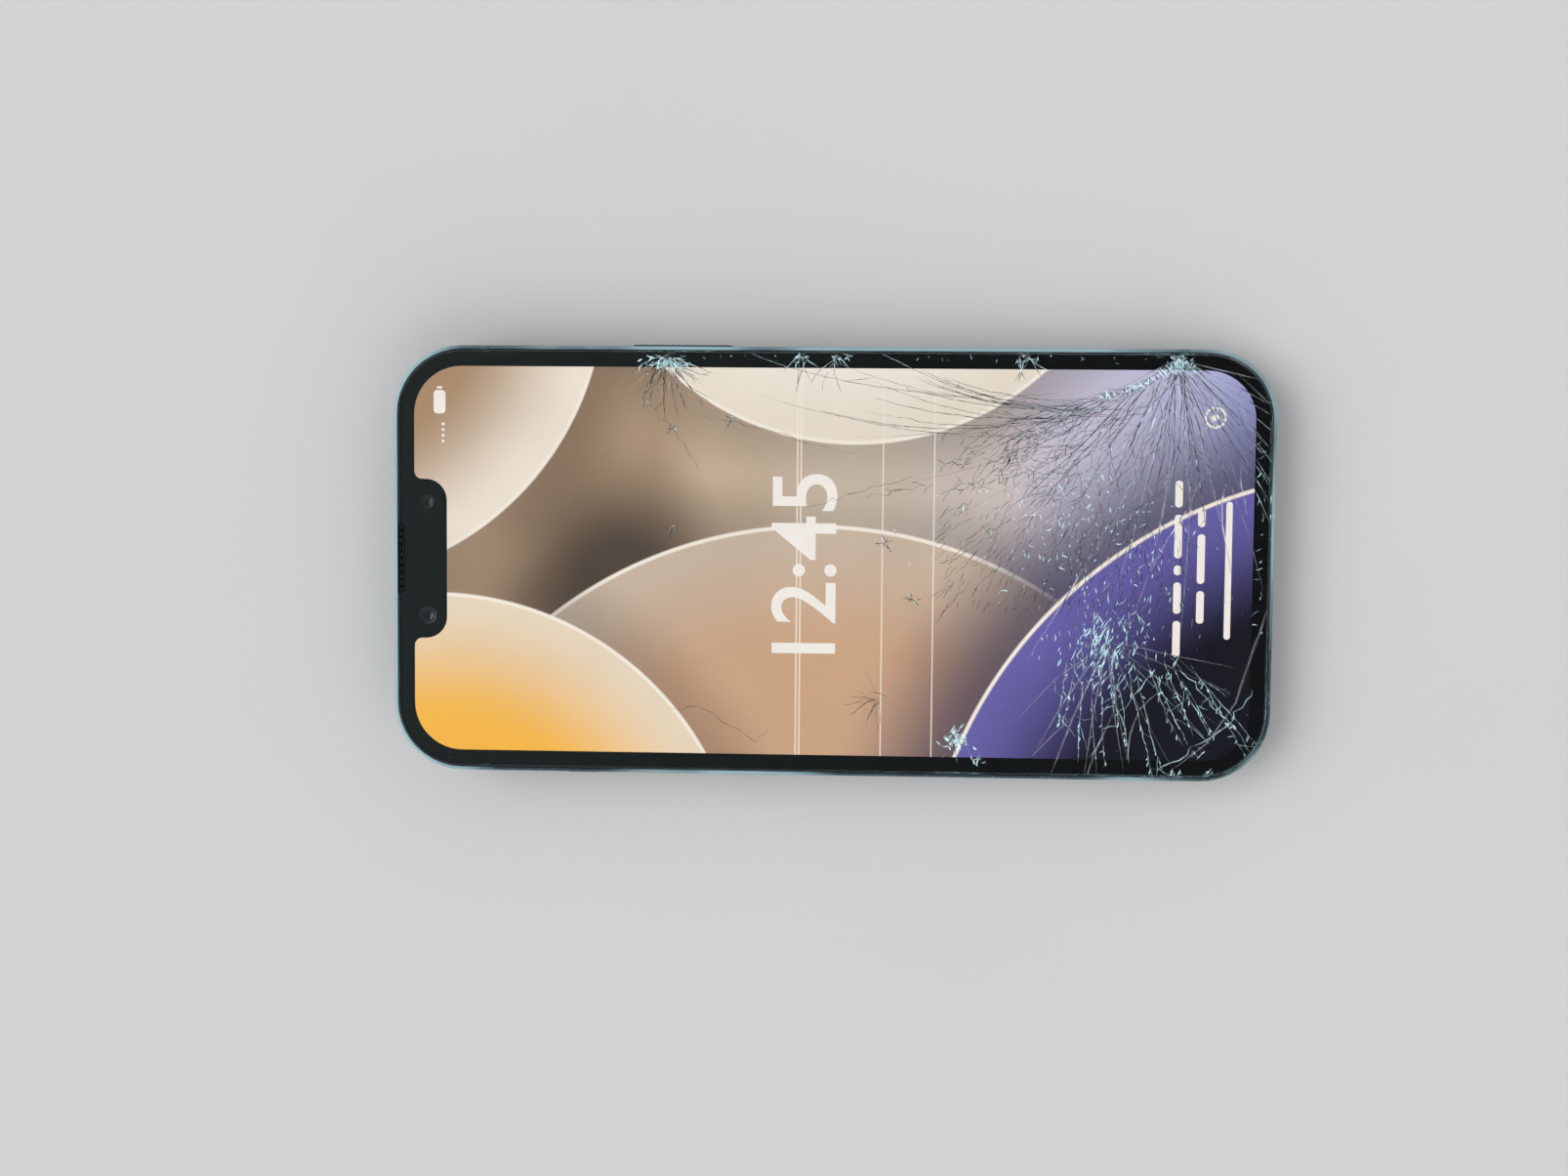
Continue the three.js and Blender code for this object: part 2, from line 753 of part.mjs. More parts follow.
// Rear camera: a square base and a barrel with its stepped mouth and domed front lens
function rearCamera(columns, rows, lensRadius) {
  const [x, y] = onPlateau(columns, rows);
  const mouth = ringFoot + windowRecess + windowThickness + 2 * bondLine;
  const step = mouth + 0.7;
  const barrel = turned([
    [0, step - 0.15],
    [0.6 * lensRadius, step],
    [lensRadius, step + 0.4],
    [lensRadius + 0.35, step + 0.4],
    [lensRadius + 0.35, step],
    [barrelMouthRadius, mouth],
    [barrelRadius, mouth],
    [barrelRadius, 1.4],
    [0, 1.4],
  ], x, y);
  const square = roundedRect(cameraBaseSize, cameraBaseSize, 1, x, y);
  const base = slab(square, backGlassThickness + 0.2, bayTop, 0.15, 1);
  return join(barrel, base);
}

// Flash: a domed window in the plateau, and the lamp behind it
function flashWindow() {
  const [x, y] = onPlateau(-1, 1);
  return solid(turned([
    [0, plateauFace - 0.12],
    [0.6 * flashRadius, plateauFace - 0.08],
    [flashRadius, plateauFace + 0.1],
    [flashRadius, 0.3],
    [0, 0.3],
  ], x, y));
}

function flashLamp() {
  const [x, y] = onPlateau(-1, 1);
  const seat = backGlassThickness + bondLine;
  return join(
    slab(roundedRect(6.6, 6.6, 0.6, x, y), seat, seat + 0.6, 0, 1),
    slab(roundedRect(2.6, 2.6, 0.3, x, y), seat - 0.4, seat + 0.2, 0, 1),
  );
}

// A small microphone can with a sound hole in its lid
function microphone(x, y, bottom) {
  return cut(
    solid(slab(roundedRect(3.4, 2.5, 0.4, x, y), bottom, bottom + 1.1, 0.15, 1)),
    upright(0.4, x, y, bottom - 0.5, bottom + 0.3, 10),
  );
}

function rearMicrophone() {
  const [x, y] = onPlateau(1, -1);
  return microphone(x, y, backGlassThickness + bondLine);
}

function bottomMicrophone() {
  return microphone(-soundHoleFirst - soundHolePitch, -railY + 1.55, midHeight - 0.9);
}

// A sprung key: its cap in the rail, the lip that keeps it in, and the nub that meets its switch
function keySolid(side, y, length) {
  const lipX = railX - keyLipGap;
  const cap = sideSlab(stadium(length, keyHeight, 0, midHeight), lipX - 0.1, sideX + keyProud, keyEdgeRound);
  const lipOutline = stadium(length + 2 * keyLip, keyHeight + 2 * keyLip, 0, midHeight);
  const lip = sideSlab(lipOutline, lipX - keyLipThickness, lipX);
  const nub = sideBar(keyNubRadius, lipX - keyLipThickness - keyNubLength, lipX - 0.2, 0, midHeight);
  return join(...[cap, lip, nub].map((piece) => onRail(piece, side, y)));
}

// A switch on its bracket, which hangs on the rail at both ends of the key
function keySwitch(side, y, length, dome) {
  const back = railX - keyDepth;
  const plateX = back + switchPlate;
  const footX = railX - bondLine;
  const half = length / 2 + keyLip + switchLeg + 0.4;
  const bracket = new THREE.Shape([
    new THREE.Vector2(back, -half),
    new THREE.Vector2(footX, -half),
    new THREE.Vector2(footX, switchLeg - half),
    new THREE.Vector2(plateX, switchLeg - half),
    new THREE.Vector2(plateX, half - switchLeg),
    new THREE.Vector2(footX, half - switchLeg),
    new THREE.Vector2(footX, half),
    new THREE.Vector2(back, half),
  ]);
  const pieces = [slab(bracket, midHeight - switchHeight / 2, midHeight + switchHeight / 2)];
  if (dome) {
    pieces.push(sideBar(switchDomeRadius, plateX - 0.2, plateX + switchDome, 0, midHeight));
  }
  return join(...pieces.map((piece) => onRail(piece, side, y)));
}

// Ring switch: a short rocker cap that slides across the rail in its slot, shown towards the screen
function ringSwitch() {
  const lipX = railX - keyLipGap;
  const outerX = sideX + keyProud;
  const z = midHeight + ringSwitchTravel / 2;
  const lipOutline = stadium(ringSwitchLength + 2 * keyLip, ringSwitchLipHeight, 0, z);
  const cap = sideSlab(stadium(ringSwitchLength, ringSwitchHeight, 0, z), lipX - 0.1, outerX, keyEdgeRound);
  const lip = sideSlab(lipOutline, lipX - keyLipThickness, lipX);
  const groove = sideSlab(stadium(ringSwitchLength - 1.6, 0.5, 0, z), outerX - 0.12, outerX + 1);
  const body = join(onRail(cap, -1, ringSwitchY), onRail(lip, -1, ringSwitchY));
  return cut(body, onRail(groove, -1, ringSwitchY));
}

// Card tray: its head in the rail, and a plate with a stepped place for the card
function simTray() {
  const headX = sideX - trayHeadDepth;
  const plateStart = headX + 0.3;
  const plateEnd = plateStart - trayPlateLength;
  const plateOutline = roundedSpan(plateEnd, plateStart, -trayPlateWidth / 2, trayPlateWidth / 2, 0.6);
  const head = sideSlab(stadium(trayLength, trayHeight, 0, midHeight), headX, sideX, 0.12);
  const plate = slab(plateOutline, trayPlateBottom, trayPlateTop, 0, 1);
  const cardX = plateEnd + 1.2 + cardLength / 2;
  const through = roundedRect(cardLength - 2 * cardLedge, cardWidth - 2 * cardLedge, cardCorner, cardX, 0);
  const place = roundedRect(cardLength, cardWidth, cardCorner, cardX, 0);
  const pinY = -trayPinOffset;
  const tools = [
    slab(through, trayPlateBottom - 1, trayPlateTop + 1, 0, 1),
    slab(place, trayPlateTop - cardDepth, trayPlateTop + 1, 0, 1),
    block(plateStart - 3.5, headX, pinY - 1.2, pinY + 1, trayPlateBottom - 1, trayPlateTop + 1),
    sideBar(trayPinRadius, headX - 0.5, sideX + 1, pinY, midHeight, 12),
  ];
  const body = join(onRail(head, -1, trayY), onRail(plate, -1, trayY));
  return cut(body, ...tools.map((tool) => onRail(tool, -1, trayY)));
}

// Card reader: a sleeve on the board, open towards the rail, with windows over its contacts
function simReader() {
  const inner = trayPlateWidth / 2 + readerClearance;
  const outer = inner + readerWall;
  const backX = sideX - trayHeadDepth - trayPlateLength - 0.6;
  const frontX = railX - 2.2;
  const floor = trayPlateBottom - readerClearance;
  const roof = trayPlateTop + readerClearance;
  const body = block(backX, frontX, -outer, outer, boardTop + bondLine, roof + 0.35);
  const channel = block(backX + 0.5, frontX + 1, -inner, inner, floor, roof);
  const windows = [-4, 0, 4].map((y) => {
    return block(backX + 3.5, backX + 10.5, y - 1.1, y + 1.1, trayPlateTop, roof + 1);
  });
  return cut(solid(onRail(body, -1, trayY)), ...[channel, ...windows].map((tool) => onRail(tool, -1, trayY)));
}

// Battery: an L-shaped pouch cell with its sealed terrace at the top
function battery() {
  const left = boardRight + batteryGap;
  const right = railX - keyDepth - 1.1;
  const top = plateauY - plateauSize / 2 - terraceLength + 0.4;
  const outline = new THREE.Shape();
  const corner = 2;
  outline.absarc(right - corner, top - corner, corner, 0, Math.PI / 2);
  outline.absarc(left + corner, top - corner, corner, Math.PI / 2, Math.PI);
  outline.absarc(left - corner, batteryFootY + corner, corner, 0, -Math.PI / 2, true);
  outline.absarc(boardLeft + 0.8 + corner, batteryFootY - corner, corner, Math.PI / 2, Math.PI);
  outline.absarc(boardLeft + 0.8 + corner, bayY + corner, corner, Math.PI, 1.5 * Math.PI);
  outline.absarc(right - corner, bayY + corner, corner, 1.5 * Math.PI, 2 * Math.PI);
  outline.closePath();
  const middle = (batteryBottom + bayTop) / 2;
  const terrace = roundedSpan(left + 2.5, right - 2.5, top - 1.2, top + terraceLength, 0.5);
  return join(
    slab(outline, batteryBottom, bayTop, batteryEdgeRound),
    slab(terrace, middle - 0.5, middle + 0.5, 0, 1),
  );
}

// Main circuit board with its screw holes and a tab towards the cameras
function logicBoard() {
  const strip = roundedSpan(boardLeft, boardRight, boardBottomY, boardTopY, 2);
  const tab = roundedSpan(boardRight - 2, boardRight + 14, boardTopY - 11, boardTopY - 1.5, 1.5);
  const holes = [
    [boardLeft + 3, boardTopY - 3],
    [boardRight - 3, trayY + 14.5],
    [boardLeft + 3, boardBottomY + 3],
  ];
  return cut(
    join(slab(strip, boardBottom, boardTop), slab(tab, boardBottom, boardTop)),
    ...holes.map(([x, y]) => upright(boardScrewRadius, x, y, boardBottom - 1, boardTop + 1)),
  );
}

// Drawn-sheet shield can, open towards the board
function shieldCan(y0, y1) {
  const x0 = boardLeft + canInset;
  const x1 = boardRight - 1.4;
  const bottom = boardTop + bondLine;
  const inner = roundedSpan(x0 + canSheet, x1 - canSheet, y0 + canSheet, y1 - canSheet, 0.95);
  const outside = slab(roundedSpan(x0, x1, y0, y1, 1.2), bottom - 1, bayTop, 0.3);
  const inside = slab(inner, bottom - 2, bayTop - canSheet);
  const skirt = block(x0 - 1, x1 + 1, y0 - 1, y1 + 1, bottom - 3, bottom);
  return cut(solid(outside), inside, skirt);
}

// Charging coil on the inside of the back glass, with its two leads, whose foot reaches the board's edge
function chargingCoil() {
  const bottom = backGlassThickness + bondLine;
  const ring = new THREE.Shape();
  ring.absarc(0, coilY, coilOuterRadius, 0, 2 * Math.PI);
  const bore = new THREE.Path();
  bore.absarc(0, coilY, coilInnerRadius, 0, 2 * Math.PI);
  ring.holes.push(bore);
  const top = bottom + coilThickness;
  const leadY = coilY + coilOuterRadius - 9;
  const leadLeft = boardRight - 6;
  const leadRight = boardRight - 2;
  const footRight = Math.max(leadRight, -coilInnerRadius - 0.5);
  const leads = roundedSpan(leadLeft, leadRight, leadY, leadY + 12, 0.6);
  const foot = roundedSpan(leadLeft, footRight, leadY, leadY + 4, 0.6);
  return join(slab(ring, bottom, top, 0, 20), slab(leads, bottom, top, 0, 1), slab(foot, bottom, top, 0, 1));
}

// Vibration motor with a screw ear
function hapticMotor() {
  const x1 = -screwX - 1.6;
  const x0 = x1 - hapticWidth;
  const y1 = bayY - 1;
  const y0 = y1 - hapticLength;
  const can = slab(roundedSpan(x0, x1, y0, y1, 1.2), batteryBottom, bayTop, 0.3);
  const ear = slab(roundedSpan(x0 + 3, x0 + 8, y0 - 2.4, y0 + 1, 1), bayTop - 0.9, bayTop - 0.2);
  return cut(join(can, ear), upright(0.7, x0 + 5.5, y0 - 1.1, bayTop - 2, bayTop + 1));
}

// Loudspeaker box, moulded to the corner of the bay, with its cone in a recess and its snout at the holes
function loudspeaker() {
  const x0 = screwX + 1.6;
  const y1 = bayY - 1;
  const y0 = y1 - speakerLength;
  const corner = roundedRect(2 * railX - 0.8, 2 * railY - 0.8, bodyCorner - railThickness - 0.4);
  const box = solid(slab(roundedSpan(x0, x0 + speakerWidth + 2, y0, y1, 1), batteryBottom, bayTop, 0.25));
  const fitted = box.intersect(solid(slab(corner, 0, bayTop + 1, 0, 4)));
  const cone = roundedSpan(x0 + 3, x0 + 15, y0 + 4.5, y1 - 2, 2.5);
  const snout = block(x0 + 1, x0 + 14, y0 - 1, y0 + 1.6, midHeight - 0.8, midHeight + 0.7);
  return cut(fitted, slab(cone, bayTop - 0.8, bayTop + 1), snout);
}

// Earpiece: its speaker in the notch, and the slotted mesh in the edge of the glass
function earpieceSpeaker() {
  const y1 = railY - 0.65;
  const half = earSpeakerWidth / 2;
  const body = slab(roundedSpan(-half, half, y1 - 5, y1, 0.8), boardTop + 0.3, frontLedge - 0.5, 0.25);
  const vent = roundedSpan(-half + 1.5, half - 1.5, y1 - 1.6, y1 - 0.5, 0.5);
  return cut(solid(body), slab(vent, frontLedge - 1.1, frontLedge + 1));
}

function earpieceMesh() {
  const half = earSlotWidth / 2 - earMeshGap;
  const y1 = glassLength / 2 - earMeshGap;
  const y0 = glassLength / 2 - earSlotDepth + earMeshGap;
  const bottom = frontLedge + bondLine;
  const strip = slab(roundedSpan(-half, half, y0, y1, 0.35), bottom, bottom + earMeshThickness, 0, 1);
  const pitch = (2 * half - 1) / earMeshSlots;
  const slots = [];
  for (let i = 0; i < earMeshSlots; i += 1) {
    const x = (i + 0.5 - earMeshSlots / 2) * pitch;
    const slot = roundedRect(earMeshSlotWidth, y1 - y0 - 0.44, 0.1, x, (y0 + y1) / 2);
    slots.push(slab(slot, bottom - 1, bottom + 2, 0, 0.5));
  }
  return cut(solid(strip), ...slots);
}

// A module in the notch that looks out through the glass
function notchModule(x, lensRadius) {
  const top = frontGlassBottom - 0.25;
  const square = roundedRect(frontCameraSize, frontCameraSize, 0.7, x, frontCameraY);
  const body = slab(square, boardTop + 0.3, displayBottom - 0.15, 0.2, 1);
  const barrel = turned([
    [0, displayBottom - 0.5],
    [lensRadius + 0.5, displayBottom - 0.5],
    [lensRadius + 0.5, top],
    [lensRadius, top],
    [0.55 * lensRadius, top - 0.4],
    [0, top - 0.3],
  ], x, frontCameraY, 20);
  return join(body, barrel);
}

// Charging port: a drawn metal shell, and the moulded contact tongue in it
function chargePort() {
  const y0 = portRecess - topY;
  const y1 = y0 + portLength;
  const outside = stadium(portWidth, portHeight, 0, midHeight);
  const inside = stadium(portWidth - 2 * portWall, portHeight - 2 * portWall, 0, midHeight);
  return cut(solid(endSlab(outside, y0, y1, 0, 4)), endSlab(inside, y0 - 1, y1 + 1, 0, 4));
}

function portTongue() {
  const y0 = portRecess - topY;
  const y1 = y0 + portLength;
  const inner = portWall + 0.1;
  const base = stadium(portWidth - 2 * inner, portHeight - 2 * inner, 0, midHeight);
  const blade = roundedRect(tongueWidth, tongueThickness, 0.2, 0, midHeight);
  return join(
    endSlab(base, y1 - portBaseLength, y1 + 0.6, 0, 4),
    endSlab(blade, y0 + tongueRecess, y1 - 0.5, 0, 1),
  );
}

// Bottom screw with a five-sided drive in its head
function bottomScrew(side) {
  const headY = screwRecess - topY;
  const x = side * screwX;
  const screw = join(
    endBar(screwHeadRadius, x, midHeight, headY, headY + screwHeadLength, 16),
    endBar(screwShankRadius, x, midHeight, headY + 0.2, headY + screwLength, 12),
  );
  return cut(screw, endBar(0.38, x, midHeight, headY - 0.5, headY + 0.35, 5));
}

// A flat cable that follows points in (x, z), given its width along y
function ribbon(points, y, width) {
  const half = flexThickness / 2;
  const upper = [];
  const lower = [];
  points.forEach(([x, z], i) => {
    const [ax, az] = points[Math.max(i - 1, 0)];
    const [bx, bz] = points[Math.min(i + 1, points.length - 1)];
    const run = Math.hypot(bx - ax, bz - az);
    const nx = (-half * (bz - az)) / run;
    const nz = (half * (bx - ax)) / run;
    upper.push(new THREE.Vector2(x + nx, z + nz));
    lower.unshift(new THREE.Vector2(x - nx, z - nz));
  });
  return solid(endSlab(new THREE.Shape([...upper, ...lower]), y - width / 2, y + width / 2));
}

// Display cable: from under the panel, down through the midplate, to the board
function displayFlex() {
  const x = displayFlexX;
  const high = displayBottom - displayCushion / 2;
  const low = boardTop + bondLine + 0.1;
  return ribbon([
    [x + 7, high],
    [x + 0.9, high],
    [x + 0.45, high - 0.15],
    [x + 0.25, high - 0.6],
    [x + 0.1, low + 1],
    [x - 0.3, low + 0.35],
    [x - 1, low],
    [x - 5, low],
  ], displayFlexY, displayFlexWidth);
}

// Battery cable: from the terrace to the board
function batteryFlex() {
  const start = boardRight + batteryGap + 2.2;
  const low = boardTop + bondLine + 0.1;
  const high = (batteryBottom + bayTop) / 2;
  const y = plateauY - plateauSize / 2 - terraceLength / 2 + 0.5;
  return ribbon([
    [start, high],
    [start - 1, high],
    [start - 2, (high + low) / 2],
    [start - 3, low],
    [start - 5.2, low],
  ], y, 2.6);
}

// The whole phone, one named piece at a time
const phone = new THREE.Group();

function add(name, shape, material) {
  const mesh = new THREE.Mesh(geometryOf(shape), material);
  mesh.name = name;
  phone.add(mesh);
}

add('metal_frame', metalFrame(), anodised);
add('antenna_split_upper_right', antennaSplit(1, 1), splitPlastic);
add('antenna_split_lower_right', antennaSplit(1, -1), splitPlastic);
add('antenna_split_upper_left', antennaSplit(-1, 1), splitPlastic);
add('antenna_split_lower_left', antennaSplit(-1, -1), splitPlastic);
add('front_glass', frontGlass(), coverGlass);
add('display_panel', displayPanel(), displayFilm);
add('display_seal', displaySeal(), blackRubber);
add('back_glass', backGlass(), rearGlass);
add('back_adhesive', backAdhesive(), glueTape);
add('main_camera_ring', cameraRing(1, 1), anodised);
add('main_camera_window', cameraWindow(1, 1), lensGlass);
add('main_camera', rearCamera(1, 1, mainLensRadius), blackMetal);
add('wide_camera_ring', cameraRing(-1, -1), anodised);
add('wide_camera_window', cameraWindow(-1, -1), lensGlass);
add('wide_camera', rearCamera(-1, -1, wideLensRadius), blackMetal);
add('flash_window', flashWindow(), flashYellow);
add('flash_lamp', flashLamp(), flashYellow);
add('rear_microphone', rearMicrophone(), steel);
add('side_button', keySolid(1, sideButtonY, sideButtonLength), anodised);
add('side_button_switch', keySwitch(1, sideButtonY, sideButtonLength, true), steel);
add('volume_up_button', keySolid(-1, volumeUpY, volumeKeyLength), anodised);
add('volume_up_switch', keySwitch(-1, volumeUpY, volumeKeyLength, true), steel);
add('volume_down_button', keySolid(-1, volumeDownY, volumeKeyLength), anodised);
add('volume_down_switch', keySwitch(-1, volumeDownY, volumeKeyLength, true), steel);
add('ring_switch', ringSwitch(), anodised);
add('ring_switch_bracket', keySwitch(-1, ringSwitchY, ringSwitchLength, false), steel);
add('sim_tray', simTray(), anodised);
add('sim_reader', simReader(), steel);
add('battery', battery(), batteryFoil);
add('battery_flex', batteryFlex(), amberFilm);
add('logic_board', logicBoard(), circuitBoard);
add('shield_can_upper', shieldCan(trayY + 32, boardTopY - 5), steel);
add('shield_can_lower', shieldCan(boardBottomY + 1, trayY - trayPlateWidth / 2 - 2), steel);
add('display_flex', displayFlex(), amberFilm);
add('charging_coil', chargingCoil(), copper);
add('haptic_motor', hapticMotor(), steel);
add('loudspeaker', loudspeaker(), blackPlastic);
add('bottom_microphone', bottomMicrophone(), steel);
add('charge_port', chargePort(), steel);
add('port_tongue', portTongue(), blackPlastic);
add('bottom_screw_left', bottomScrew(-1), steel);
add('bottom_screw_right', bottomScrew(1), steel);
add('earpiece_speaker', earpieceSpeaker(), blackPlastic);
add('earpiece_mesh', earpieceMesh(), blackMetal);
add('front_camera', notchModule(frontCameraX, frontCameraRadius), blackMetal);
add('face_sensor', notchModule(-frontCameraX, 1.3), blackMetal);

// Tipped onto the lower camera ring and the bottom edge of the back glass
const restingEdge = glassLength / 2 - glassEdgeRound;
const restingRing = plateauY - lensOffset - ringRadius + ringFootRound;
const restTilt = Math.atan2(-ringFoot, restingRing + restingEdge);
phone.rotation.x = restTilt;
phone.position.set(0, (bodyThickness / 2) * Math.sin(restTilt), restingEdge * Math.sin(restTilt));

const shatteredPhone = new THREE.Group();
shatteredPhone.add(phone);

export default shatteredPhone;
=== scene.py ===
# A phone with a shattered screen, lying on its back with its picture still lit.
import math
import random

import bmesh
import bpy
from mathutils import Matrix, Vector


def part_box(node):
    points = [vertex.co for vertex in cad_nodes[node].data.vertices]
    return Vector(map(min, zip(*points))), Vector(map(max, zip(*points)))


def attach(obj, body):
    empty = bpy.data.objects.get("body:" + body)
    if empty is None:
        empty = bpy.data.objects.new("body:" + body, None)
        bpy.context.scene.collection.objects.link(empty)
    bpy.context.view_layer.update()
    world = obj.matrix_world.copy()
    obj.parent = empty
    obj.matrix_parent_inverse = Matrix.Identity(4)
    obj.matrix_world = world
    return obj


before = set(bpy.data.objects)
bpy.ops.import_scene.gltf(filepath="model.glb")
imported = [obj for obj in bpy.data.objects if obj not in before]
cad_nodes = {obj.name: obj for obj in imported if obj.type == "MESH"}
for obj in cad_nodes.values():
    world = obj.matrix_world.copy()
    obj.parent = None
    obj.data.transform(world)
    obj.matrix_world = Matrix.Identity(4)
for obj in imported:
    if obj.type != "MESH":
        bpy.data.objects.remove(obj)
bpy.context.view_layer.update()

# The phone's own level frame, in millimetres: +X its right side, +Y its top end, +Z out of the screen.
# The tip and the rest values lay it down on its camera rings.
MM = 0.001
TIP = math.radians(1.2497097)
REST_Y = 0.08506
REST_Z = 1.57796
GLASS_WIDTH = 70.0
GLASS_LENGTH = 145.2
GLASS_CORNER = 10.75
GLASS_TOP = 7.8
DISPLAY_TOP = 6.88
BAND_MIDDLE = 3.85

# The lit part of the display and its notch
SCREEN_WIDTH = 64.6
SCREEN_LENGTH = 139.8
SCREEN_CORNER = 8.05
NOTCH_WIDTH = 26.8
NOTCH_DEPTH = 5.5
NOTCH_CORNER = 3.6
NOTCH_FLARE = 1.3
FRONT_CAMERA = (-9.6, 67.7)
FACE_SENSOR = (9.6, 67.7)
FRONT_CAMERA_WINDOW = 1.55
FACE_SENSOR_WINDOW = 1.2

# Camera, as the photograph was taken
CAMERA_PLACE = (17.505, -16.224, 341.023)
CAMERA_TURN = (-3.7098, 4.1123, -89.5110)
CAMERA_LENS = 45.835
CAMERA_SENSOR = 36.0
CAMERA_NEAR = 0.01

phone_to_row = (
    Matrix.Translation((0.0, REST_Y * MM, REST_Z * MM))
    @ Matrix.Rotation(TIP, 4, "X")
    @ Matrix.Scale(MM, 4)
)
rng = random.Random(29)


def srgb(red, green, blue):
    """A colour given as it looks on a screen, 0 to 255, as the linear colour that a shader takes."""
    def linear(value):
        value /= 255
        return value / 12.92 if value <= 0.04045 else ((value + 0.055) / 1.055) ** 2.4
    return (linear(red), linear(green), linear(blue), 1.0)


def ease(value, low, high):
    """How far a value has come from low to high, from 0 to 1."""
    part = min(max((value - low) / (high - low), 0.0), 1.0)
    return part * part * (3 - 2 * part)


# Node materials

class Finish:
    """Shorthand for building one node material, in the phone's own millimetres."""

    def __init__(self, name):
        self.material = bpy.data.materials.new(name)
        self.material.use_nodes = True
        self.tree = self.material.node_tree
        self.shader = self.tree.nodes["Principled BSDF"]
        coords = self.node("ShaderNodeTexCoord")
        level = self.node("ShaderNodeMapping", vector_type="TEXTURE")
        level.inputs["Location"].default_value = (0.0, REST_Y * MM, REST_Z * MM)
        level.inputs["Rotation"].default_value = (TIP, 0.0, 0.0)
        level.inputs["Scale"].default_value = (MM, MM, MM)
        self.feed(level.inputs["Vector"], coords.outputs["Object"])
        self.place = level.outputs["Vector"]
        apart = self.node("ShaderNodeSeparateXYZ")
        self.feed(apart.inputs[0], self.place)
        self.x, self.y, self.z = apart.outputs

    def node(self, kind, **settings):
        made = self.tree.nodes.new(kind)
        for key, value in settings.items():
            setattr(made, key, value)
        return made

    def feed(self, socket, value):
        """Links another node's output to a socket, or sets a plain value on it."""
        if isinstance(value, bpy.types.NodeSocket):
            self.tree.links.new(value, socket)
        else:
            socket.default_value = value

    def math(self, operation, first, second=0.0):
        made = self.node("ShaderNodeMath", operation=operation)
        self.feed(made.inputs[0], first)
        self.feed(made.inputs[1], second)
        return made.outputs[0]

    def vector(self, operation, first, second):
        made = self.node("ShaderNodeVectorMath", operation=operation)
        self.feed(made.inputs[0], first)
        self.feed(made.inputs[1], second)
        return made.outputs["Value" if operation == "DISTANCE" else "Vector"]

    def span(self, value, low, high, start=0.0, end=1.0):
        """Goes smoothly from start to end as the value goes from low to high."""
        made = self.node("ShaderNodeMapRange", interpolation_type="SMOOTHSTEP")
        for socket, number in zip(made.inputs, (value, low, high, start, end)):
            self.feed(socket, number)
        return made.outputs[0]

    def mix(self, factor, first, second):
        made = self.node("ShaderNodeMix", data_type="RGBA")
        self.feed(made.inputs[0], factor)
        self.feed(made.inputs[6], first)
        self.feed(made.inputs[7], second)
        return made.outputs[2]

    def turned(self, degrees):
        """The place, turned about the phone's upright axis."""
        made = self.node("ShaderNodeVectorRotate", rotation_type="Z_AXIS")
        self.feed(made.inputs["Vector"], self.place)
        self.feed(made.inputs["Angle"], math.radians(degrees))
        return made.outputs[0]

    def noise(self, per_mm, detail=3.0, roughness=0.55, stretch=(1.0, 1.0, 1.0), turn=0.0):
        made = self.node("ShaderNodeTexNoise")
        self.feed(made.inputs["Vector"], self.vector("MULTIPLY", self.turned(turn), stretch))
        self.feed(made.inputs["Scale"], per_mm)
        self.feed(made.inputs["Detail"], detail)
        self.feed(made.inputs["Roughness"], roughness)
        return made.outputs[0]

    def cells(self, per_mm, feature="F1", stretch=(1.0, 1.0, 1.0)):
        made = self.node("ShaderNodeTexVoronoi", feature=feature)
        self.feed(made.inputs["Vector"], self.vector("MULTIPLY", self.place, stretch))
        self.feed(made.inputs["Scale"], per_mm)
        return made.outputs["Distance"]

    def bump(self, height, depth_mm):
        made = self.node("ShaderNodeBump")
        self.feed(made.inputs["Distance"], depth_mm * MM)
        self.feed(made.inputs["Height"], height)
        self.feed(self.shader.inputs["Normal"], made.outputs["Normal"])

    def shade(self, **sockets):
        """Feeds the shader's sockets, with an underscore for each space in their names."""
        for name, value in sockets.items():
            label = name.replace("_", " ").title().replace("Ior", "IOR")
            self.feed(self.shader.inputs[label], value)
        return self.material


# The lit picture: large soft discs that overlap, with bright rims

RIM_LIGHT = srgb(252, 242, 228)
SHADOW_BROWN = srgb(58, 46, 40)
SHADOW_VIOLET = srgb(62, 56, 86)
# A dark patch between the discs near the top end: its centre, and where it starts and stops fading
DARK_PATCH = (-2.0, 36.0)
DARK_PATCH_FADE = (4.0, 24.0)
# The ground behind the discs: places along the phone and the colours there
PICTURE_RAMP = [
    (70.0, srgb(206, 178, 146)),
    (44.0, srgb(168, 140, 112)),
    (31.0, srgb(176, 150, 122)),
    (17.0, srgb(208, 184, 158)),
    (-4.0, srgb(226, 210, 190)),
    (-24.0, srgb(212, 198, 190)),
    (-42.0, srgb(204, 198, 218)),
    (-58.0, srgb(190, 190, 222)),
    (-70.0, srgb(160, 164, 212)),
]
# The shade around a disc: its colour, its weight at the rim, and how far it reaches
SOFT_SHADE = (SHADOW_BROWN, 0.36, 12.0)
DEEP_SHADE = (SHADOW_VIOLET, 0.84, 21.0)
